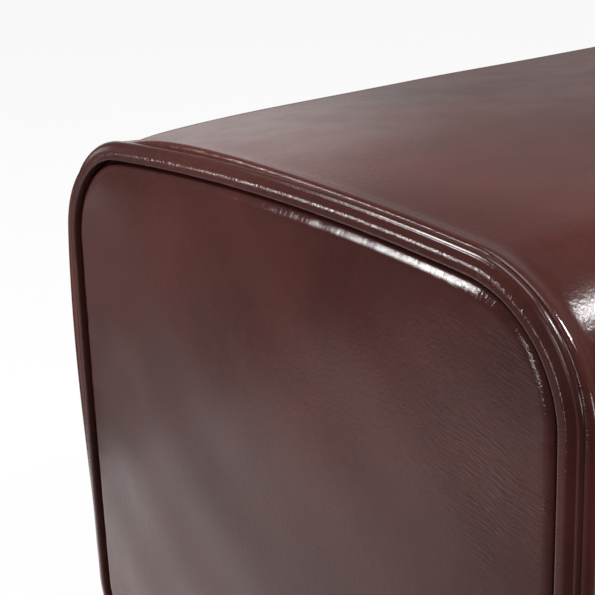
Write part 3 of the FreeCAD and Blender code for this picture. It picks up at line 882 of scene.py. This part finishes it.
def declare(piece: Piece, material: Material, nodes: list[str]) -> None:
    """Dress a piece, hang it on the body and hide the nodes that it stands for.

    Args:
        piece: The finished object.
        material: Its material.
        nodes: Names of the nodes that it replaces.
    """
    piece.data.materials.clear()
    piece.data.materials.append(material)
    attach(piece, BODY)
    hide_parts(*nodes)
    LOG.info("%s: %d faces, stands for %s", piece.name, len(piece.data.polygons), ", ".join(nodes))


@dataclass
class LeatherWrap:
    """The skin over front, top and back, drawn in to both end seams and hemmed under the base.

    Bulges are (rise, place along the section, spread), where the filling crowds the seam.
    """

    outline: Outline
    seam: SeamForm
    step: float = 4 * MM
    hem_edge: float = 112 * MM
    strip_edge: float = 520 * MM
    strip_seam: float = 150 * MM
    hem_columns: int = 5
    tuck: float = math.radians(50)
    roll_rows: int = 12
    roll_gap: float = 0.5 * MM
    drawn_start: float = 1 * MM
    drawn_length: float = 170 * MM
    drawn_rows: int = 34
    middle_rows: int = 22
    bulges: tuple[Triple, ...] = (
        (13.5 * MM, 310 * MM, 145 * MM),
        (-11.5 * MM, 462 * MM, 50 * MM),
        (2.2 * MM, 575 * MM, 90 * MM),
    )
    bulge_depth: float = 20 * MM
    loft: float = 4 * MM
    loft_reach: float = 90 * MM
    pull: float = 0.5
    pull_facing: Pair = (-0.45, 0.89)
    pull_tightness: float = 5.5
    swell: float = 0.45 * MM
    swell_limit: float = 0.9 * MM
    swell_length: float = 160 * MM
    swell_stretch: Triple = (0.6, 1.0, 1.0)
    swell_seed: int = 11
    swell_start: float = 15 * MM
    swell_reach: float = 80 * MM
    base_reach: float = 50 * MM

    def rows(self) -> tuple[np.ndarray, np.ndarray]:
        """Set out the skin's rows from the left end to the middle.

        Returns:
            Depth from the end panel's edge and inset of each row.
        """
        seam = self.seam
        turns = np.linspace(-self.tuck, math.pi / 2, self.roll_rows)
        depth = seam.wrap_depth - seam.wrap_roll * np.cos(turns)
        inset = seam.wrap_roll * (1 - np.sin(turns)) - seam.wrap_ridge
        first = seam.wrap_depth + self.roll_gap
        run = first + np.geomspace(self.drawn_start, self.drawn_length, self.drawn_rows) - self.drawn_start
        flat = np.linspace(run[-1], seam.edge_plane, self.middle_rows + 1)[1:]
        depths = np.concatenate([depth, run, flat])
        insets = np.concatenate([inset, seam.drawn(run), seam.drawn(flat)])
        return depths, insets

    def build(self) -> Piece:
        """Build the skin.

        Returns:
            The skin as a closed shell.
        """
        seam = self.seam
        points, normals = self.outline.sample(self.step)
        depths, insets = self.rows()
        stations = np.concatenate([depths - seam.edge_plane, (seam.edge_plane - depths)[-2::-1]])
        insets = np.concatenate([insets, insets[-2::-1]])
        away = np.concatenate([depths, depths[-2::-1]])
        edge = points[0, 0]
        along = run_length(points)
        shares = np.linspace(0, 1, self.hem_columns, endpoint=False)
        pull = self.pulled(normals)
        full_drop = seam.wrap_roll * (1 + math.sin(self.tuck))
        grid, marks = [], []
        for x, inset, depth in zip(stations, insets, away):
            start = self.hem_edge if abs(x) < self.strip_edge else self.strip_seam
            hem = start + (edge - start) * shares
            rolled = max(seam.wrap_depth - depth, 0)
            dropped = (inset + seam.wrap_ridge) * (rolled > 0)
            inward = inset + pull * (seam.ridge(depth) - dropped)
            inward -= (1 - dropped / full_drop) * self.bulged(along, depth) + self.lofted(normals, depth)
            skin = points - normals * inward[:, None]
            back = np.stack([hem, np.full(self.hem_columns, self.outline.bottom + inset)], axis=1)
            section = np.concatenate([back, skin, back[::-1] * TO_FRONT])
            shift = np.pad(pull * rolled, self.hem_columns)
            grid.append(np.concatenate([(x - np.sign(x) * shift)[:, None], section], axis=1))
            lengths = np.concatenate([hem - edge, along, along[-1] + edge - hem[::-1]])
            marks.append(np.stack([lengths, np.full(len(lengths), depth), np.zeros(len(lengths))], axis=1))
        grid, marks = np.array(grid), np.array(marks)
        normal = grid_normals(grid, False)
        outward = 1.0 if normal[len(grid) // 2, len(grid[0]) // 2, 2] > 0 else -1.0
        grid = grid + normal * (outward * self.slack(grid, away))[..., None]
        return shell_object("leather_wrap_skin", grid, marks, seam.leather, False, outward < 0)

    def slack(self, grid: np.ndarray, away: np.ndarray) -> np.ndarray:
        """Return the swells of the leather, which die out towards the end seams and the base.

        Args:
            grid: The skin's points.
            away: Depth of each row from its end panel's edge.

        Returns:
            How far out each point lies.
        """
        fade = np.clip((away - self.swell_start) / self.swell_reach, 0, 1)[:, None]
        fade = fade * np.clip((grid[..., 2] - self.outline.bottom) / self.base_reach, 0, 1)
        places = grid.reshape(-1, 3) * np.array(self.swell_stretch)
        height = waves(places, self.swell_seed, self.swell_length).reshape(fade.shape)
        return self.swell_limit * np.tanh(self.swell * (height - 1) / self.swell_limit) * fade

    def bulged(self, along: np.ndarray, depth: float) -> np.ndarray:
        """Return how far the skin stands out where the filling crowds the seam at the upper back."""
        rises = [rise * np.exp(-(((along - at) / spread) ** 2)) for rise, at, spread in self.bulges]
        return np.exp(-((depth / self.bulge_depth) ** 2)) * sum(rises)

    def lofted(self, normals: np.ndarray, depth: float) -> np.ndarray:
        """Return how far the top stands up away from the end seams."""
        behind = max(depth - self.seam.wrap_depth, 0)
        return self.loft * (1 - math.exp(-behind / self.loft_reach)) * np.maximum(normals[:, 1], 0) ** 2

    def pulled(self, normals: np.ndarray) -> np.ndarray:
        """Return the share of the ridge that is pulled flat over the upper front corner."""
        toward = normals @ np.array(self.pull_facing)
        return self.pull * np.exp(self.pull_tightness * (toward - 1))


@dataclass
class EndPanel:
    """A domed end panel with a rolled edge that drops into the groove beside the welt.

    Its hidden margin runs through the tuck's points of (inset, level) before the roll begins.
    """

    outline: Outline
    seam: SeamForm
    end: End
    step: float = 2 * MM
    tuck: tuple[Pair, ...] = ((10.2 * MM, -9.6 * MM), (12.6 * MM, -9.3 * MM), (14.1 * MM, -8.6 * MM))
    roll_rows: int = 18
    dome_rows: int = 34
    dome_spacing: float = 1.25
    dome_start: float = 1.3
    rim_power: int = 6
    bulge: float = 2.4
    swell: float = 0.5 * MM
    swell_length: float = 110 * MM
    swell_seed: int = 23
    swell_reach: float = 60 * MM
    pucker: float = 0.1 * MM
    pucker_length: float = 20 * MM
    pucker_slant: float = 0.15
    pucker_seed: int = 31
    pucker_count: int = 7
    pucker_reach: float = 14 * MM
    crease_front: Pair = (0.5, 0.35)
    crease_height: Pair = (0.25, 1.1)
    wadding: float = 4 * MM
    wadding_step: int = 3
    clearance: float = 0.1 * MM

    def surface(self) -> tuple[np.ndarray, np.ndarray, bool]:
        """Set out the panel's outer face.

        Returns:
            Its points, its seam coordinates and whether its normals point inwards.
        """
        seam, sign = self.seam, float(self.end.value)
        points, normals = self.outline.loop(self.step)
        centre = np.array([0.0, self.outline.middle])
        along = run_length(points)
        roll = seam.rolled(self.roll_rows) + np.array([seam.panel_inset, 0.0])
        grid, marks = [], []
        for inset, level in [*self.tuck, *roll[:-1]]:
            section = points - normals * inset
            grid.append(self.row(section, np.full(len(section), level)))
            away = np.full(len(along), max(level + seam.panel_roll, 0))
            share = self.creased(section) * max(1 + level / seam.panel_roll, 0) ** 4
            marks.append(np.stack([along, away, share], axis=1))
        edge = points - normals * roll[-1, 0]
        rim = self.height(edge)
        for share in 1 - np.linspace(0, 1, self.dome_rows, endpoint=False) ** self.dome_spacing:
            section = centre + (edge - centre) * share
            level = self.height(section) - rim * share ** self.rim_power
            away = seam.panel_roll * self.dome_start + np.linalg.norm(edge - section, axis=1)
            grid.append(self.row(section, level))
            marks.append(np.stack([along, away, self.creased(section)], axis=1))
        grid, marks = np.array(grid), np.array(marks)
        self.soften(grid, marks)
        grid[..., 0] = sign * grid[..., 0]
        return grid, marks, bool(grid_normals(grid, True)[-3, 0, 0] * sign < 0)

    def build(self) -> tuple[Piece, Piece]:
        """Build the panel and the wadding behind it.

        Returns:
            The leather and the wadding, each as a closed shell.
        """
        grid, marks, flip = self.surface()
        word, leather = self.end.word, self.seam.leather
        skin = shell_object(f"{word}_end_panel_skin", grid, marks, leather, True, flip, pole=True)
        inward = grid_normals(grid, True) * (1 if flip else -1)
        start = len(self.tuck) + 1 + self.roll_rows // 2
        under = (grid + inward * (leather + self.clearance))[start:, ::self.wadding_step]
        kept = marks[start:, ::self.wadding_step]
        filling = shell_object(f"{word}_end_wadding_pad", under, kept, self.wadding, True, flip, pole=True)
        return skin, filling

    def row(self, section: np.ndarray, level: np.ndarray) -> np.ndarray:
        """Return one ring of points at its own levels out of the end."""
        return np.concatenate([(self.seam.edge_plane + level)[:, None], section], axis=1)

    def height(self, section: np.ndarray) -> np.ndarray:
        """Return the dome's height over the panel's edge.

        Args:
            section: Points as (y, z).

        Returns:
            One height for each point.
        """
        wide = self.outline.half_depth - self.seam.panel_inset
        tall = (self.outline.top - self.outline.bottom) / 2 - self.seam.panel_inset
        across = np.abs(section[:, 0]) / wide
        up = np.abs(section[:, 1] - self.outline.middle) / tall
        return self.seam.dome * (1 - across ** self.bulge) * (1 - up ** self.bulge)

    def creased(self, section: np.ndarray) -> np.ndarray:
        """Return the share of creasing, most beside the front edge.

        Args:
            section: Points as (y, z).

        Returns:
            One share for each point.
        """
        front = -section[:, 0] / self.outline.half_depth
        up = (section[:, 1] - self.outline.middle) / (self.outline.top - self.outline.middle)
        (start, reach), (middle, full) = self.crease_front, self.crease_height
        return np.clip((front - start) / reach, 0, 1) * np.clip(full - np.abs(up - middle), 0, 1)

    def soften(self, grid: np.ndarray, marks: np.ndarray) -> None:
        """Add the slack of the leather: broad swells, and puckers across the rolled edge.

        Args:
            grid: The face's points, which are moved.
            marks: Its seam coordinates.
        """
        flat = grid.reshape(-1, 3)[:, 1:]
        away = marks[..., 1]
        height = waves(flat, self.swell_seed, self.swell_length).reshape(away.shape)
        grid[..., 0] += self.swell * height * np.clip(away / self.swell_reach, 0, 1)
        line = np.stack([marks[..., 0].ravel(), self.pucker_slant * away.ravel()], axis=1)
        lines = waves(line, self.pucker_seed, self.pucker_length, self.pucker_count).reshape(away.shape)
        grid[..., 0] += self.pucker * lines * np.exp(-away / self.pucker_reach) * (away > 0)


@dataclass
class Welt:
    """The flat folded band that stands between the end panel's groove and the wrap."""

    outline: Outline
    seam: SeamForm
    end: End
    step: float = 1.1 * MM
    bend_points: int = 7
    straight_points: int = 3
    foot_points: int = 5
    slant: float = 0.4
    squeeze: float = 0.2
    wrinkle: float = 0.014 * MM
    wrinkle_length: float = 3.5 * MM
    wrinkle_count: int = 8
    wrinkle_seed: int = 41
    wave: float = 4.0
    wave_length: float = 50 * MM
    wave_count: int = 6
    wave_seed: int = 53
    core_share: float = 0.72
    core_step: float = 4 * MM

    def profile(self) -> np.ndarray:
        """Draw the band's closed cross-section.

        The face rises from the lip to a bead, falls away from it and ends in a rounded fold
        beside the wrap.

        Returns:
            Points as (outwards, out of the end) from the groove.
        """
        seam = self.seam
        rise, fall, turn_back = seam.welt_rise, seam.welt_fall, seam.welt_turn
        lip = seam.welt_lip * (1 + math.sin(rise))
        bead = seam.welt_bead * (math.sin(fall) - math.sin(rise))
        dip = seam.welt_dip * (math.sin(fall) - math.sin(turn_back))
        edge = seam.welt_edge * (1 - math.sin(turn_back))
        inner = seam.welt_crest_share * seam.welt_width - lip - bead / 2
        outer = seam.welt_width - lip - inner - bead - dip - edge
        bends = [
            (seam.welt_lip, -math.pi / 2, rise, inner / math.cos(rise)),
            (seam.welt_bead, rise, fall, outer / math.cos(fall)),
            (-seam.welt_dip, fall, turn_back, 0.0),
            (seam.welt_edge, turn_back, math.pi / 2, 0.0),
        ]
        points = [np.zeros(2)]
        for radius, begin, finish, straight in bends:
            start = points[-1] - radius * np.array([math.sin(begin), math.cos(begin)])
            for turn in np.linspace(begin, finish, self.bend_points)[1:]:
                points.append(start + radius * np.array([math.sin(turn), math.cos(turn)]))
            ahead = straight / self.straight_points * np.array([math.cos(finish), -math.sin(finish)])
            for _ in range(self.straight_points if straight else 0):
                points.append(points[-1] + ahead)
        face = np.array(points)
        face[:, 1] += seam.welt_crest - face[:, 1].max()
        foot = seam.welt_foot
        under = [
            (centre + foot * math.sin(turn), foot - seam.welt_back + foot * math.cos(turn))
            for centre, begin in ((seam.welt_width - foot, math.pi / 2), (foot, math.pi))
            for turn in np.linspace(begin, begin + math.pi / 2, self.foot_points)
        ]
        return np.concatenate([face, np.array(under)]) + np.array([seam.welt_offset, 0.0])

    def ring(self, name: str, profile: np.ndarray, step: float, wrinkle: float) -> Piece:
        """Sweep a cross-section round the end.

        Args:
            name: Name of the piece.
            profile: Closed cross-section from the groove.
            step: Largest distance between two sections.
            wrinkle: Height of the small wrinkles along it.

        Returns:
            The sweep as a closed ring.
        """
        seam, sign = self.seam, float(self.end.value)
        points, normals = self.outline.loop(step)
        along = run_length(points)
        groove = points - normals * seam.groove_inset
        grid = np.zeros((len(points), len(profile), 3))
        grid[..., 0] = seam.edge_plane + profile[None, :, 1]
        grid[..., 1:] = groove[:, None, :] + normals[:, None, :] * profile[None, :, :1]
        girth = run_length(profile)
        marks = np.zeros_like(grid)
        marks[..., 0] = along[:, None] + self.slant * girth[None, :]
        marks[..., 1] = np.linalg.norm(profile - np.array([seam.welt_offset, 0.0]), axis=1)[None, :]
        line = np.stack([marks[..., 0].ravel(), np.tile(girth, len(along)) * self.squeeze], axis=1)
        fine = waves(line, self.wrinkle_seed + self.end.value, self.wrinkle_length, self.wrinkle_count)
        broad = waves(line, self.wave_seed, self.wave_length, self.wave_count)
        raised = wrinkle * (fine + self.wave * broad)
        grid = grid + grid_normals(grid, True) * raised.reshape(len(along), -1)[..., None]
        grid[..., 0] *= sign
        rows, columns = grid.shape[:2]
        closed = np.concatenate([grid, grid[:1]])
        flip = bool(grid_normals(closed, True)[5, np.argmax(profile[:, 1]), 0] * sign < 0)
        count = rows * columns
        faces = [tuple(k % count for k in face) for face in grid_faces(rows + 1, columns, True, flip)]
        return mesh_object(name, grid.reshape(-1, 3), faces, marks.reshape(-1, 3))

    def build(self) -> tuple[Piece, Piece]:
        """Build the band and its filler.

        Returns:
            The leather band and the filler inside it, each as a closed ring.
        """
        profile = self.profile()
        middle = profile.mean(axis=0)
        shrunk = middle + self.core_share * (profile - middle)
        band = self.ring(f"{self.end.word}_welt_band", profile, self.step, self.wrinkle)
        core = self.ring(f"{self.end.word}_welt_filler", shrunk, self.core_step, 0.0)
        return band, core


# Underside


@dataclass
class BaseStrip:
    """The leather strip that closes the skin under one end, between the feet."""

    wrap: LeatherWrap
    end: End
    gap: float = 0.4 * MM
    columns: int = 61

    def build(self) -> Piece:
        """Build the strip on the wrap's own underside.

        Returns:
            The strip as a closed shell.
        """
        sign = float(self.end.value)
        reach = self.wrap.seam.edge_plane - self.wrap.strip_edge - self.gap
        depths, insets = self.wrap.rows()
        inside = depths < reach
        depths = np.append(depths[inside], reach)
        insets = np.append(insets[inside], self.wrap.seam.drawn(np.array([reach])))
        half = self.wrap.strip_seam - self.gap
        across = np.linspace(-half, half, self.columns)
        grid = np.zeros((len(depths), self.columns, 3))
        grid[..., 0] = sign * (self.wrap.seam.edge_plane - depths)[:, None]
        grid[..., 1] = across[None, :]
        grid[..., 2] = (self.wrap.outline.bottom + insets)[:, None]
        marks = np.zeros_like(grid)
        marks[..., 0] = across[None, :]
        marks[..., 1] = depths[:, None]
        flip = bool(grid_normals(grid, False)[-2, self.columns // 2, 2] > 0)
        name = f"{self.end.word}_base_strip_skin"
        return shell_object(name, grid, marks, self.wrap.seam.leather, False, flip)


@dataclass
class DustCover:
    """The cloth stretched under the base, sagging a little between its rows of staples."""

    rows: int = 111
    columns: int = 41
    sag: float = 2.2 * MM
    taut_length: float = 430 * MM
    taut_width: float = 134 * MM
    ripple: float = 0.25 * MM
    ripple_length: float = 90 * MM
    ripple_stretch: Pair = (1.0, 0.3)
    ripple_seed: int = 71

    def build(self) -> Piece:
        """Build the cloth over the box of its node.

        Returns:
            The cloth as a closed thin shell.
        """
        low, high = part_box("dust_cover")
        along = np.linspace(low[0], high[0], self.rows)
        across = np.linspace(low[1], high[1], self.columns)
        grid = np.zeros((self.rows, self.columns, 3))
        grid[..., 0] = along[:, None]
        grid[..., 1] = across[None, :]
        slack = np.clip(1 - (along / self.taut_length) ** 2, 0, 1)[:, None] ** 0.5
        slack = slack * np.clip(1 - (across / self.taut_width) ** 2, 0, 1)[None, :]
        places = grid.reshape(-1, 3)[:, :2] * np.array(self.ripple_stretch)
        ripple = waves(places, self.ripple_seed, self.ripple_length).reshape(slack.shape)
        grid[..., 2] = low[2] - slack * (self.sag + self.ripple * ripple)
        marks = np.zeros_like(grid)
        flip = bool(grid_normals(grid, False)[self.rows // 2, self.columns // 2, 2] > 0)
        return shell_object("stretched_dust_cover", grid, marks, high[2] - low[2], False, flip)


@dataclass
class CoverStaples:
    """Staples round the dust cover, set out by Geometry Nodes."""

    crown: float = 10 * MM
    leg: float = 10 * MM
    wire: float = 0.5 * MM
    width: float = 1 * MM
    pitch: float = 70 * MM
    end_pitch: float = 45 * MM
    side_count: int = 7
    end_count: int = 2
    side_margin: float = 8 * MM
    end_margin: float = 7 * MM
    foot_clear: float = 56 * MM
    skew: float = 0.06
    seed: int = 7

    def places(self) -> tuple[list[Triple], list[float]]:
        """Set out the staples, clear of the feet.

        Returns:
            Where the staples sit and how far each is turned.
        """
        low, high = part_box("dust_cover")
        foot_low, foot_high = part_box("right_back_foot")
        foot = (foot_low[0] + foot_high[0]) / 2
        points, turns = [], []
        for sign in (-1, 1):
            for k in range(-self.side_count, self.side_count + 1):
                if abs(abs(k * self.pitch) - foot) > self.foot_clear:
                    points.append((k * self.pitch, sign * (high[1] - self.side_margin), low[2]))
                    turns.append(0.0)
            for k in range(-self.end_count, self.end_count + 1):
                points.append((sign * (high[0] - self.end_margin), k * self.end_pitch, low[2]))
                turns.append(math.pi / 2)
        return points, turns

    def group(self, material: Material) -> bpy.types.NodeTree:
        """Build the node group that puts a staple on every point.

        Args:
            material: Material of the staples.

        Returns:
            The node group.
        """
        tree = bpy.data.node_groups.new("staples_on_points", "GeometryNodeTree")
        tree.interface.new_socket("Geometry", in_out="INPUT", socket_type="NodeSocketGeometry")
        for name in ("Crown", "Leg", "Wire", "Width", "Skew"):
            tree.interface.new_socket(name, in_out="INPUT", socket_type="NodeSocketFloat")
        tree.interface.new_socket("Seed", in_out="INPUT", socket_type="NodeSocketInt")
        tree.interface.new_socket("Geometry", in_out="OUTPUT", socket_type="NodeSocketGeometry")
        nodes = Nodes(tree)
        given = nodes.add("NodeGroupInput").outputs
        joined = nodes.add("GeometryNodeJoinGeometry")
        drop = nodes.math("MULTIPLY", given["Wire"], -0.5)
        shift = nodes.math("ADD", nodes.math("MULTIPLY", given["Crown"], 0.5), drop)
        rise = nodes.math("MULTIPLY", given["Leg"], 0.5)
        bar = nodes.add("ShaderNodeCombineXYZ", {0: given["Crown"], 1: given["Width"], 2: given["Wire"]})
        post = nodes.add("ShaderNodeCombineXYZ", {0: given["Wire"], 1: given["Width"], 2: given["Leg"]})
        parts = [(bar, 0.0, drop), (post, shift, rise), (post, nodes.math("MULTIPLY", shift, -1.0), rise)]
        for size, aside, up in parts:
            cube = nodes.add("GeometryNodeMeshCube", {"Size": size.outputs[0]})
            move = nodes.add("ShaderNodeCombineXYZ", {0: aside, 2: up})
            moved = nodes.add(
                "GeometryNodeTransform", {"Geometry": cube.outputs["Mesh"], "Translation": move.outputs[0]}
            )
            tree.links.new(moved.outputs[0], joined.inputs[0])
        turn = nodes.add("GeometryNodeInputNamedAttribute", {"Name": "turn"}, data_type="FLOAT").outputs[0]
        least = nodes.math("MULTIPLY", given["Skew"], -1.0)
        chance = nodes.add("FunctionNodeRandomValue", data_type="FLOAT")
        # The node has sockets for every kind of value; these are the float's least, most and seed.
        for socket, value in ((2, least), (3, given["Skew"]), (8, given["Seed"])):
            tree.links.new(value, chance.inputs[socket])
        about = nodes.add("ShaderNodeCombineXYZ", {2: nodes.math("ADD", turn, chance.outputs[1])})
        placed = nodes.add("GeometryNodeInstanceOnPoints", {
            "Points": given["Geometry"],
            "Instance": joined.outputs[0],
            "Rotation": about.outputs[0],
        })
        real = nodes.add("GeometryNodeRealizeInstances", {"Geometry": placed.outputs[0]})
        dressed = nodes.add("GeometryNodeSetMaterial", {"Geometry": real.outputs[0], "Material": material})
        nodes.add("NodeGroupOutput", {0: dressed.outputs[0]})
        return tree

    def build(self, material: Material) -> Piece:
        """Set out the staples and turn them into a plain mesh.

        Args:
            material: Material of the staples.

        Returns:
            The staples as one object.
        """
        points, turns = self.places()
        mesh = bpy.data.meshes.new("cover_staples")
        mesh.from_pydata(points, [], [])
        mesh.attributes.new("turn", "FLOAT", "POINT").data.foreach_set("value", turns)
        piece = add_object("cover_staples", mesh)
        modifier = piece.modifiers.new("staples", "NODES")
        tree = self.group(material)
        modifier.node_group = tree
        values = {
            "Crown": self.crown,
            "Leg": self.leg,
            "Wire": self.wire,
            "Width": self.width,
            "Skew": self.skew,
            "Seed": self.seed,
        }
        for item in tree.interface.items_tree:
            if item.in_out == "INPUT" and item.name in values:
                modifier[item.identifier] = values[item.name]
        made = bpy.data.meshes.new_from_object(piece.evaluated_get(bpy.context.evaluated_depsgraph_get()))
        piece.modifiers.clear()
        piece.data = made
        return piece


# Studio


@dataclass(frozen=True)
class Lamp:
    """One area light, aimed at a point; side and foot are the shares of its light left there."""

    name: str
    place: Triple
    aim: Triple
    size: Pair
    power: float
    side: float = 1.0
    foot: float = 1.0

    def build(self) -> None:
        """Add the light to the scene."""
        light = bpy.data.lights.new(self.name, "AREA")
        light.shape = "RECTANGLE"
        light.size, light.size_y = self.size
        light.energy = self.power
        if min(self.side, self.foot) < 1:
            self.grade(light)
        lamp = add_object(self.name, light)
        lamp.location = self.place
        lamp.visible_camera = False
        lamp.rotation_euler = (Vector(self.aim) - Vector(self.place)).to_track_quat("-Z", "Y").to_euler()

    def grade(self, light: bpy.types.AreaLight) -> None:
        """Dim the light towards one side and towards its foot.

        Args:
            light: The light's data.
        """
        light.use_nodes = True
        nodes = Nodes(light.node_tree)
        place = nodes.add("ShaderNodeNewGeometry").outputs["Parametric"]
        parts = nodes.add("ShaderNodeSeparateXYZ", {"Vector": place}).outputs
        across = nodes.span(parts["X"], 0.0, 1.0, self.side, 1.0)
        upward = nodes.span(parts["Y"], 0.0, 0.5, self.foot, 1.0)
        level = nodes.math("MULTIPLY", across, upward)
        shine = nodes.add("ShaderNodeEmission", {"Color": WHITE, "Strength": level})
        nodes.add("ShaderNodeOutputLight", {"Surface": shine.outputs[0]})


@dataclass
class Studio:
    """Pale floor, soft light and the camera at the photograph's angle.

    The floor's spans are (start, stop, brightness at the start, brightness at the stop).
    """

    form: Outline
    seam: SeamForm
    lens: float = 85.0
    sensor: float = 36.0
    eye_from_corner: Triple = (-442.5 * MM, -371 * MM, 188.9 * MM)
    right: Triple = (0.7852, -0.6187, -0.0276)
    down: Triple = (-0.2244, -0.2428, -0.9438)
    far_side: Triple = (0.75, 0.59, 0.31)
    world_level: Pair = (0.24, 0.36)
    bright_side: Triple = (0.33, 0.92, 0.2)
    bright_level: float = 0.9
    side_edge: Pair = (0.9, 0.99)
    floor_half: float = 30.0
    floor_cover: float = 0.92
    floor_rises: Span = (-0.7, 0.1, 0.03, 1.0)
    floor_fades: Span = (0.6, 1.2, 1.0, 0.3)
    floor_beside: Span = (-0.9, -0.68, 1.0, 0.05)
    floor_before: Span = (0.55, 0.8, 1.0, 0.05)
    floor_distant: Span = (-1.7, -1.2, 0.6, 1.0)
    floor_patch: Triple = (-1.42, 1.88, 0.0)
    patch_fades: Span = (0.1, 0.42, 0.9, 0.0)

    def camera(self) -> None:
        """Add the camera, placed from the near upper corner of the bench."""
        corner = Vector((-self.seam.edge_plane, -self.form.half_depth, self.form.top))
        across = Vector(self.right).normalized()
        down = Vector(self.down)
        down = (down - across * down.dot(across)).normalized()
        axes = Matrix((across, -down, across.cross(-down))).transposed()
        data = bpy.data.cameras.new("photo_camera")
        data.sensor_width = self.sensor
        data.lens = self.lens
        data.clip_start = 10 * MM
        camera = add_object("photo_camera", data)
        camera.matrix_world = Matrix.Translation(corner + Vector(self.eye_from_corner)) @ axes.to_4x4()
        bpy.context.scene.camera = camera

    def floor(self) -> None:
        """Add the pale floor."""
        half = self.floor_half
        corners = [(-half, -half, 0), (half, -half, 0), (half, half, 0), (-half, half, 0)]
        mesh = bpy.data.meshes.new("floor")
        mesh.from_pydata(corners, [], [(0, 1, 2, 3)])
        floor = add_object("floor", mesh)
        material, nodes = new_material("pale_floor")
        place = nodes.add("ShaderNodeTexCoord").outputs["Object"]
        tone = nodes.noise(place, 3.0, 2.0)
        matt = nodes.add("ShaderNodeBsdfDiffuse", {
            "Color": nodes.ramp(tone, [(0.3, (0.5, 0.5, 0.5)), (0.7, (0.54, 0.54, 0.54))]),
        })
        path = nodes.add("ShaderNodeLightPath")
        mirrored = nodes.math("MAXIMUM", path.outputs["Is Glossy Ray"], path.outputs["Is Transmission Ray"])
        seen = path.outputs["Is Camera Ray"]
        share = nodes.math("MAXIMUM", nodes.math("MULTIPLY", seen, self.floor_cover), mirrored)
        level = nodes.math("MAXIMUM", seen, self.glow(nodes, place))
        white = nodes.add("ShaderNodeEmission", {"Color": WHITE, "Strength": level})
        mixed = nodes.add("ShaderNodeMixShader", {0: share, 1: matt.outputs[0], 2: white.outputs[0]})
        nodes.add("ShaderNodeOutputMaterial", {"Surface": mixed.outputs[0]})
        floor.data.materials.append(material)

    def glow(self, nodes: Nodes, place: object) -> Socket:
        """Return how bright the floor is where it is mirrored: most beside the end shown.

        Args:
            nodes: The floor's tree.
            place: Object coordinates of the floor.

        Returns:
            The brightness, 1 at white.
        """
        across, along, _ = nodes.add("ShaderNodeSeparateXYZ", {"Vector": place}).outputs
        rising = nodes.span(along, *self.floor_rises)
        fading = nodes.span(along, *self.floor_fades)
        beside = nodes.span(across, *self.floor_beside)
        before = nodes.span(along, *self.floor_before)
        distant = nodes.span(across, *self.floor_distant)
        level = nodes.math("MULTIPLY", nodes.math("MULTIPLY", rising, fading), distant)
        level = nodes.math("MULTIPLY", level, nodes.math("MAXIMUM", beside, before))
        gap = nodes.add("ShaderNodeVectorMath", {0: place, 1: self.floor_patch}, operation="DISTANCE")
        return nodes.math("MAXIMUM", level, nodes.span(gap.outputs["Value"], *self.patch_fades))

    def light(self) -> None:
        """Add the world and the lamps."""
        world = bpy.data.worlds.new("studio")
        bpy.context.scene.world = world
        world.use_nodes = True
        nodes = Nodes(world.node_tree)
        heading = nodes.add("ShaderNodeTexCoord").outputs["Generated"]
        levels = []
        sides = [(self.far_side, self.world_level), (self.bright_side, (0.0, self.bright_level))]
        for side, rise in sides:
            toward = nodes.add("ShaderNodeVectorMath", {0: heading, 1: side}, operation="DOT_PRODUCT")
            levels.append(nodes.span(toward.outputs["Value"], *self.side_edge, *rise))
        level = nodes.math("ADD", *levels)
        shade = nodes.add("ShaderNodeBackground", {"Color": WHITE, "Strength": level})
        nodes.add("ShaderNodeOutputWorld", {"Surface": shade.outputs[0]})
        for lamp in self.lamps():
            lamp.build()

    def lamps(self) -> list[Lamp]:
        """Set out the studio's lamps.

        Returns:
            The lamps, not yet built.
        """
        end = (-self.seam.edge_plane, 0.0, self.form.top)
        return [
            Lamp("overhead_softbox", (-0.2, -0.1, 2.7), (-0.2, 0.0, 0.4), (1.6, 1.6), 55.0),
            Lamp("right_key", (0.66, -1.07, 1.72), end, (0.27, 0.27), 40.0),
            Lamp("front_right_fill", (0.3, -1.8, 0.42), end, (0.35, 0.3), 7.0),
            Lamp("left_back_softbox", (-2.04, 1.29, 1.25), end, (0.38, 1.1), 165.0, side=0.02, foot=0.1),
            Lamp("left_low_strip", (-2.3, -0.3, 0.6), end, (0.2, 0.4), 9.0),
            Lamp("front_top_lamp", (-1.37, -1.16, 2.18), end, (0.16, 0.16), 6.0),
            Lamp("left_floor_card", (-0.95, 0.34, 0.01), (-0.95, 0.34, 1.0), (0.9, 0.5), 0.5),
        ]

    def build(self) -> None:
        """Set the stage."""
        self.camera()
        self.floor()
        self.light()
        bpy.context.scene.view_settings.view_transform = "Standard"


def main() -> None:
    """Build the bench and its studio, piece by piece."""
    logging.basicConfig(level=logging.INFO, format="%(name)s: %(message)s")
    outline, seam = bench_form()
    wardrobe = Wardrobe()
    wardrobe.dress_frame()
    wrap = LeatherWrap(outline, seam)
    declare(wrap.build(), wardrobe.wrap, ["leather_wrap"])
    by_slot = wardrobe.by_slot
    for end in End:
        word = end.word
        panel, filling = EndPanel(outline, seam, end).build()
        declare(panel, wardrobe.panel, [f"{word}_end_panel"])
        declare(filling, by_slot[Slot.WADDING], [f"{word}_end_wadding"])
        band, core = Welt(outline, seam, end).build()
        declare(band, wardrobe.welt, [f"{word}_welt"])
        declare(core, by_slot[Slot.FILLER], [f"{word}_welt_core"])
        strip = BaseStrip(wrap, end).build()
        declare(strip, wardrobe.wrap, [f"{word}_base_strip"])
    cover = DustCover().build()
    declare(cover, by_slot[Slot.DUST_COVER], ["dust_cover"])
    staples = CoverStaples().build(by_slot[Slot.STEEL])
    declare(staples, by_slot[Slot.STEEL], ["dust_cover_staples"])
    Studio(outline, seam).build()


if __name__ == "__main__":
    main()
